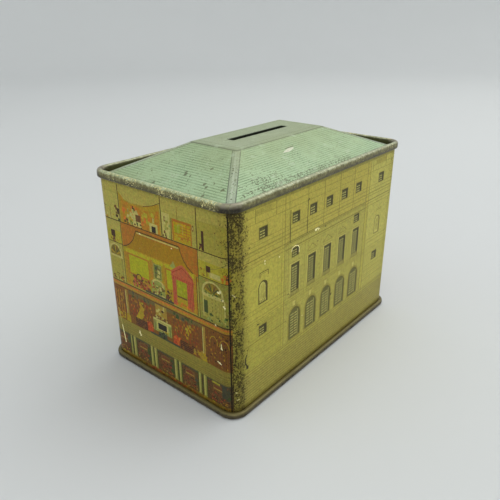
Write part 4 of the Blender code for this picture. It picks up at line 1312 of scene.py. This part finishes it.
# ---------------------------------------------------------------- studio
LENS, SENSOR = 38.32, 36.0    # camera
CAMERA_AXES = (Vector((0.64088, -0.76762, -0.00578)), Vector((0.31799, 0.25862, 0.91214)),
               Vector((-0.69868, -0.58641, 0.40984)))      # right, up, back
CAMERA_SPOT = Vector((-162.76, -130.84, 131.14)) * MM
SKY_STRENGTH = 0.845
LAMPS = (                     # name, place, aim, size, watts, colour
    ("key", (0.60, -0.28, 1.02), (0.0, 0.0, 0.03), 1.25, 6.5, (255, 254, 250)),
    ("fill", (-0.75, -0.75, 0.55), (0.0, 0.0, 0.04), 0.8, 2.3, (248, 251, 255)),
)


def backdrop(around=64):
    """A pale floor that curves up into a backdrop all round, in metres."""
    profile = [(0.25, 0.0), (0.5, 0.0), (0.8, 0.0), (1.1, 0.0)]
    profile += [(1.1 + 0.5 * math.sin(math.radians(a)), 0.5 - 0.5 * math.cos(math.radians(a)))
                for a in range(6, 91, 6)]
    profile += [(1.6, 1.0), (1.6, 1.5)]
    mesh = bmesh.new()
    centre = mesh.verts.new((0, 0, 0))
    turns = [2 * math.pi * k / around for k in range(around)]
    rows = [[mesh.verts.new((r * math.cos(turn), r * math.sin(turn), z)) for turn in turns]
            for r, z in profile]
    for k in range(around):
        mesh.faces.new((centre, rows[0][k], rows[0][(k + 1) % around]))
    for inner, outer in zip(rows, rows[1:]):
        for k in range(around):
            j = (k + 1) % around
            mesh.faces.new((inner[k], outer[k], outer[j], inner[j]))
    data = finished(mesh, "studio_floor")
    data.shade_smooth()
    floor = placed("studio_floor", data)
    paper, n, shader = material("studio_paper")
    tone = n.noise(n.place(), 0.004, 2) * 0.03 + 0.985
    n.fill(shader, {"Base Color": n.tint((217, 219, 219), tone), "Roughness": 0.85,
                    "Specular IOR Level": 0.15})
    data.materials.append(paper)


def studio():
    """The backdrop, a soft overhead light, and the camera."""
    backdrop()
    world = bpy.data.worlds.new("studio_world")
    world.use_nodes = True
    sky = world.node_tree.nodes["Background"]
    sky.inputs["Color"].default_value = linear((240, 243, 244))
    sky.inputs["Strength"].default_value = SKY_STRENGTH
    bpy.context.scene.world = world

    for name, place, aim, size, watts, rgb in LAMPS:
        lamp = bpy.data.lights.new(name, "AREA")
        lamp.shape = "RECTANGLE"
        lamp.size = lamp.size_y = size
        lamp.energy = watts
        lamp.color = linear(rgb)[:3]
        made = placed(name, lamp)
        made.location = place
        made.rotation_euler = (Vector(aim) - Vector(place)).to_track_quat("-Z", "Y").to_euler()

    lens = bpy.data.cameras.new("camera")
    lens.lens, lens.sensor_width = LENS, SENSOR
    lens.clip_start = 0.01
    camera = placed("camera", lens)
    camera.matrix_world = Matrix.Translation(CAMERA_SPOT) @ Matrix(CAMERA_AXES).transposed().to_4x4()
    bpy.context.scene.camera = camera
    bpy.context.scene.view_settings.view_transform = "Standard"


printed_walls()
roof_print()
upper_bead()
slot_lip()
lower_bead()
dress_nodes()
studio()
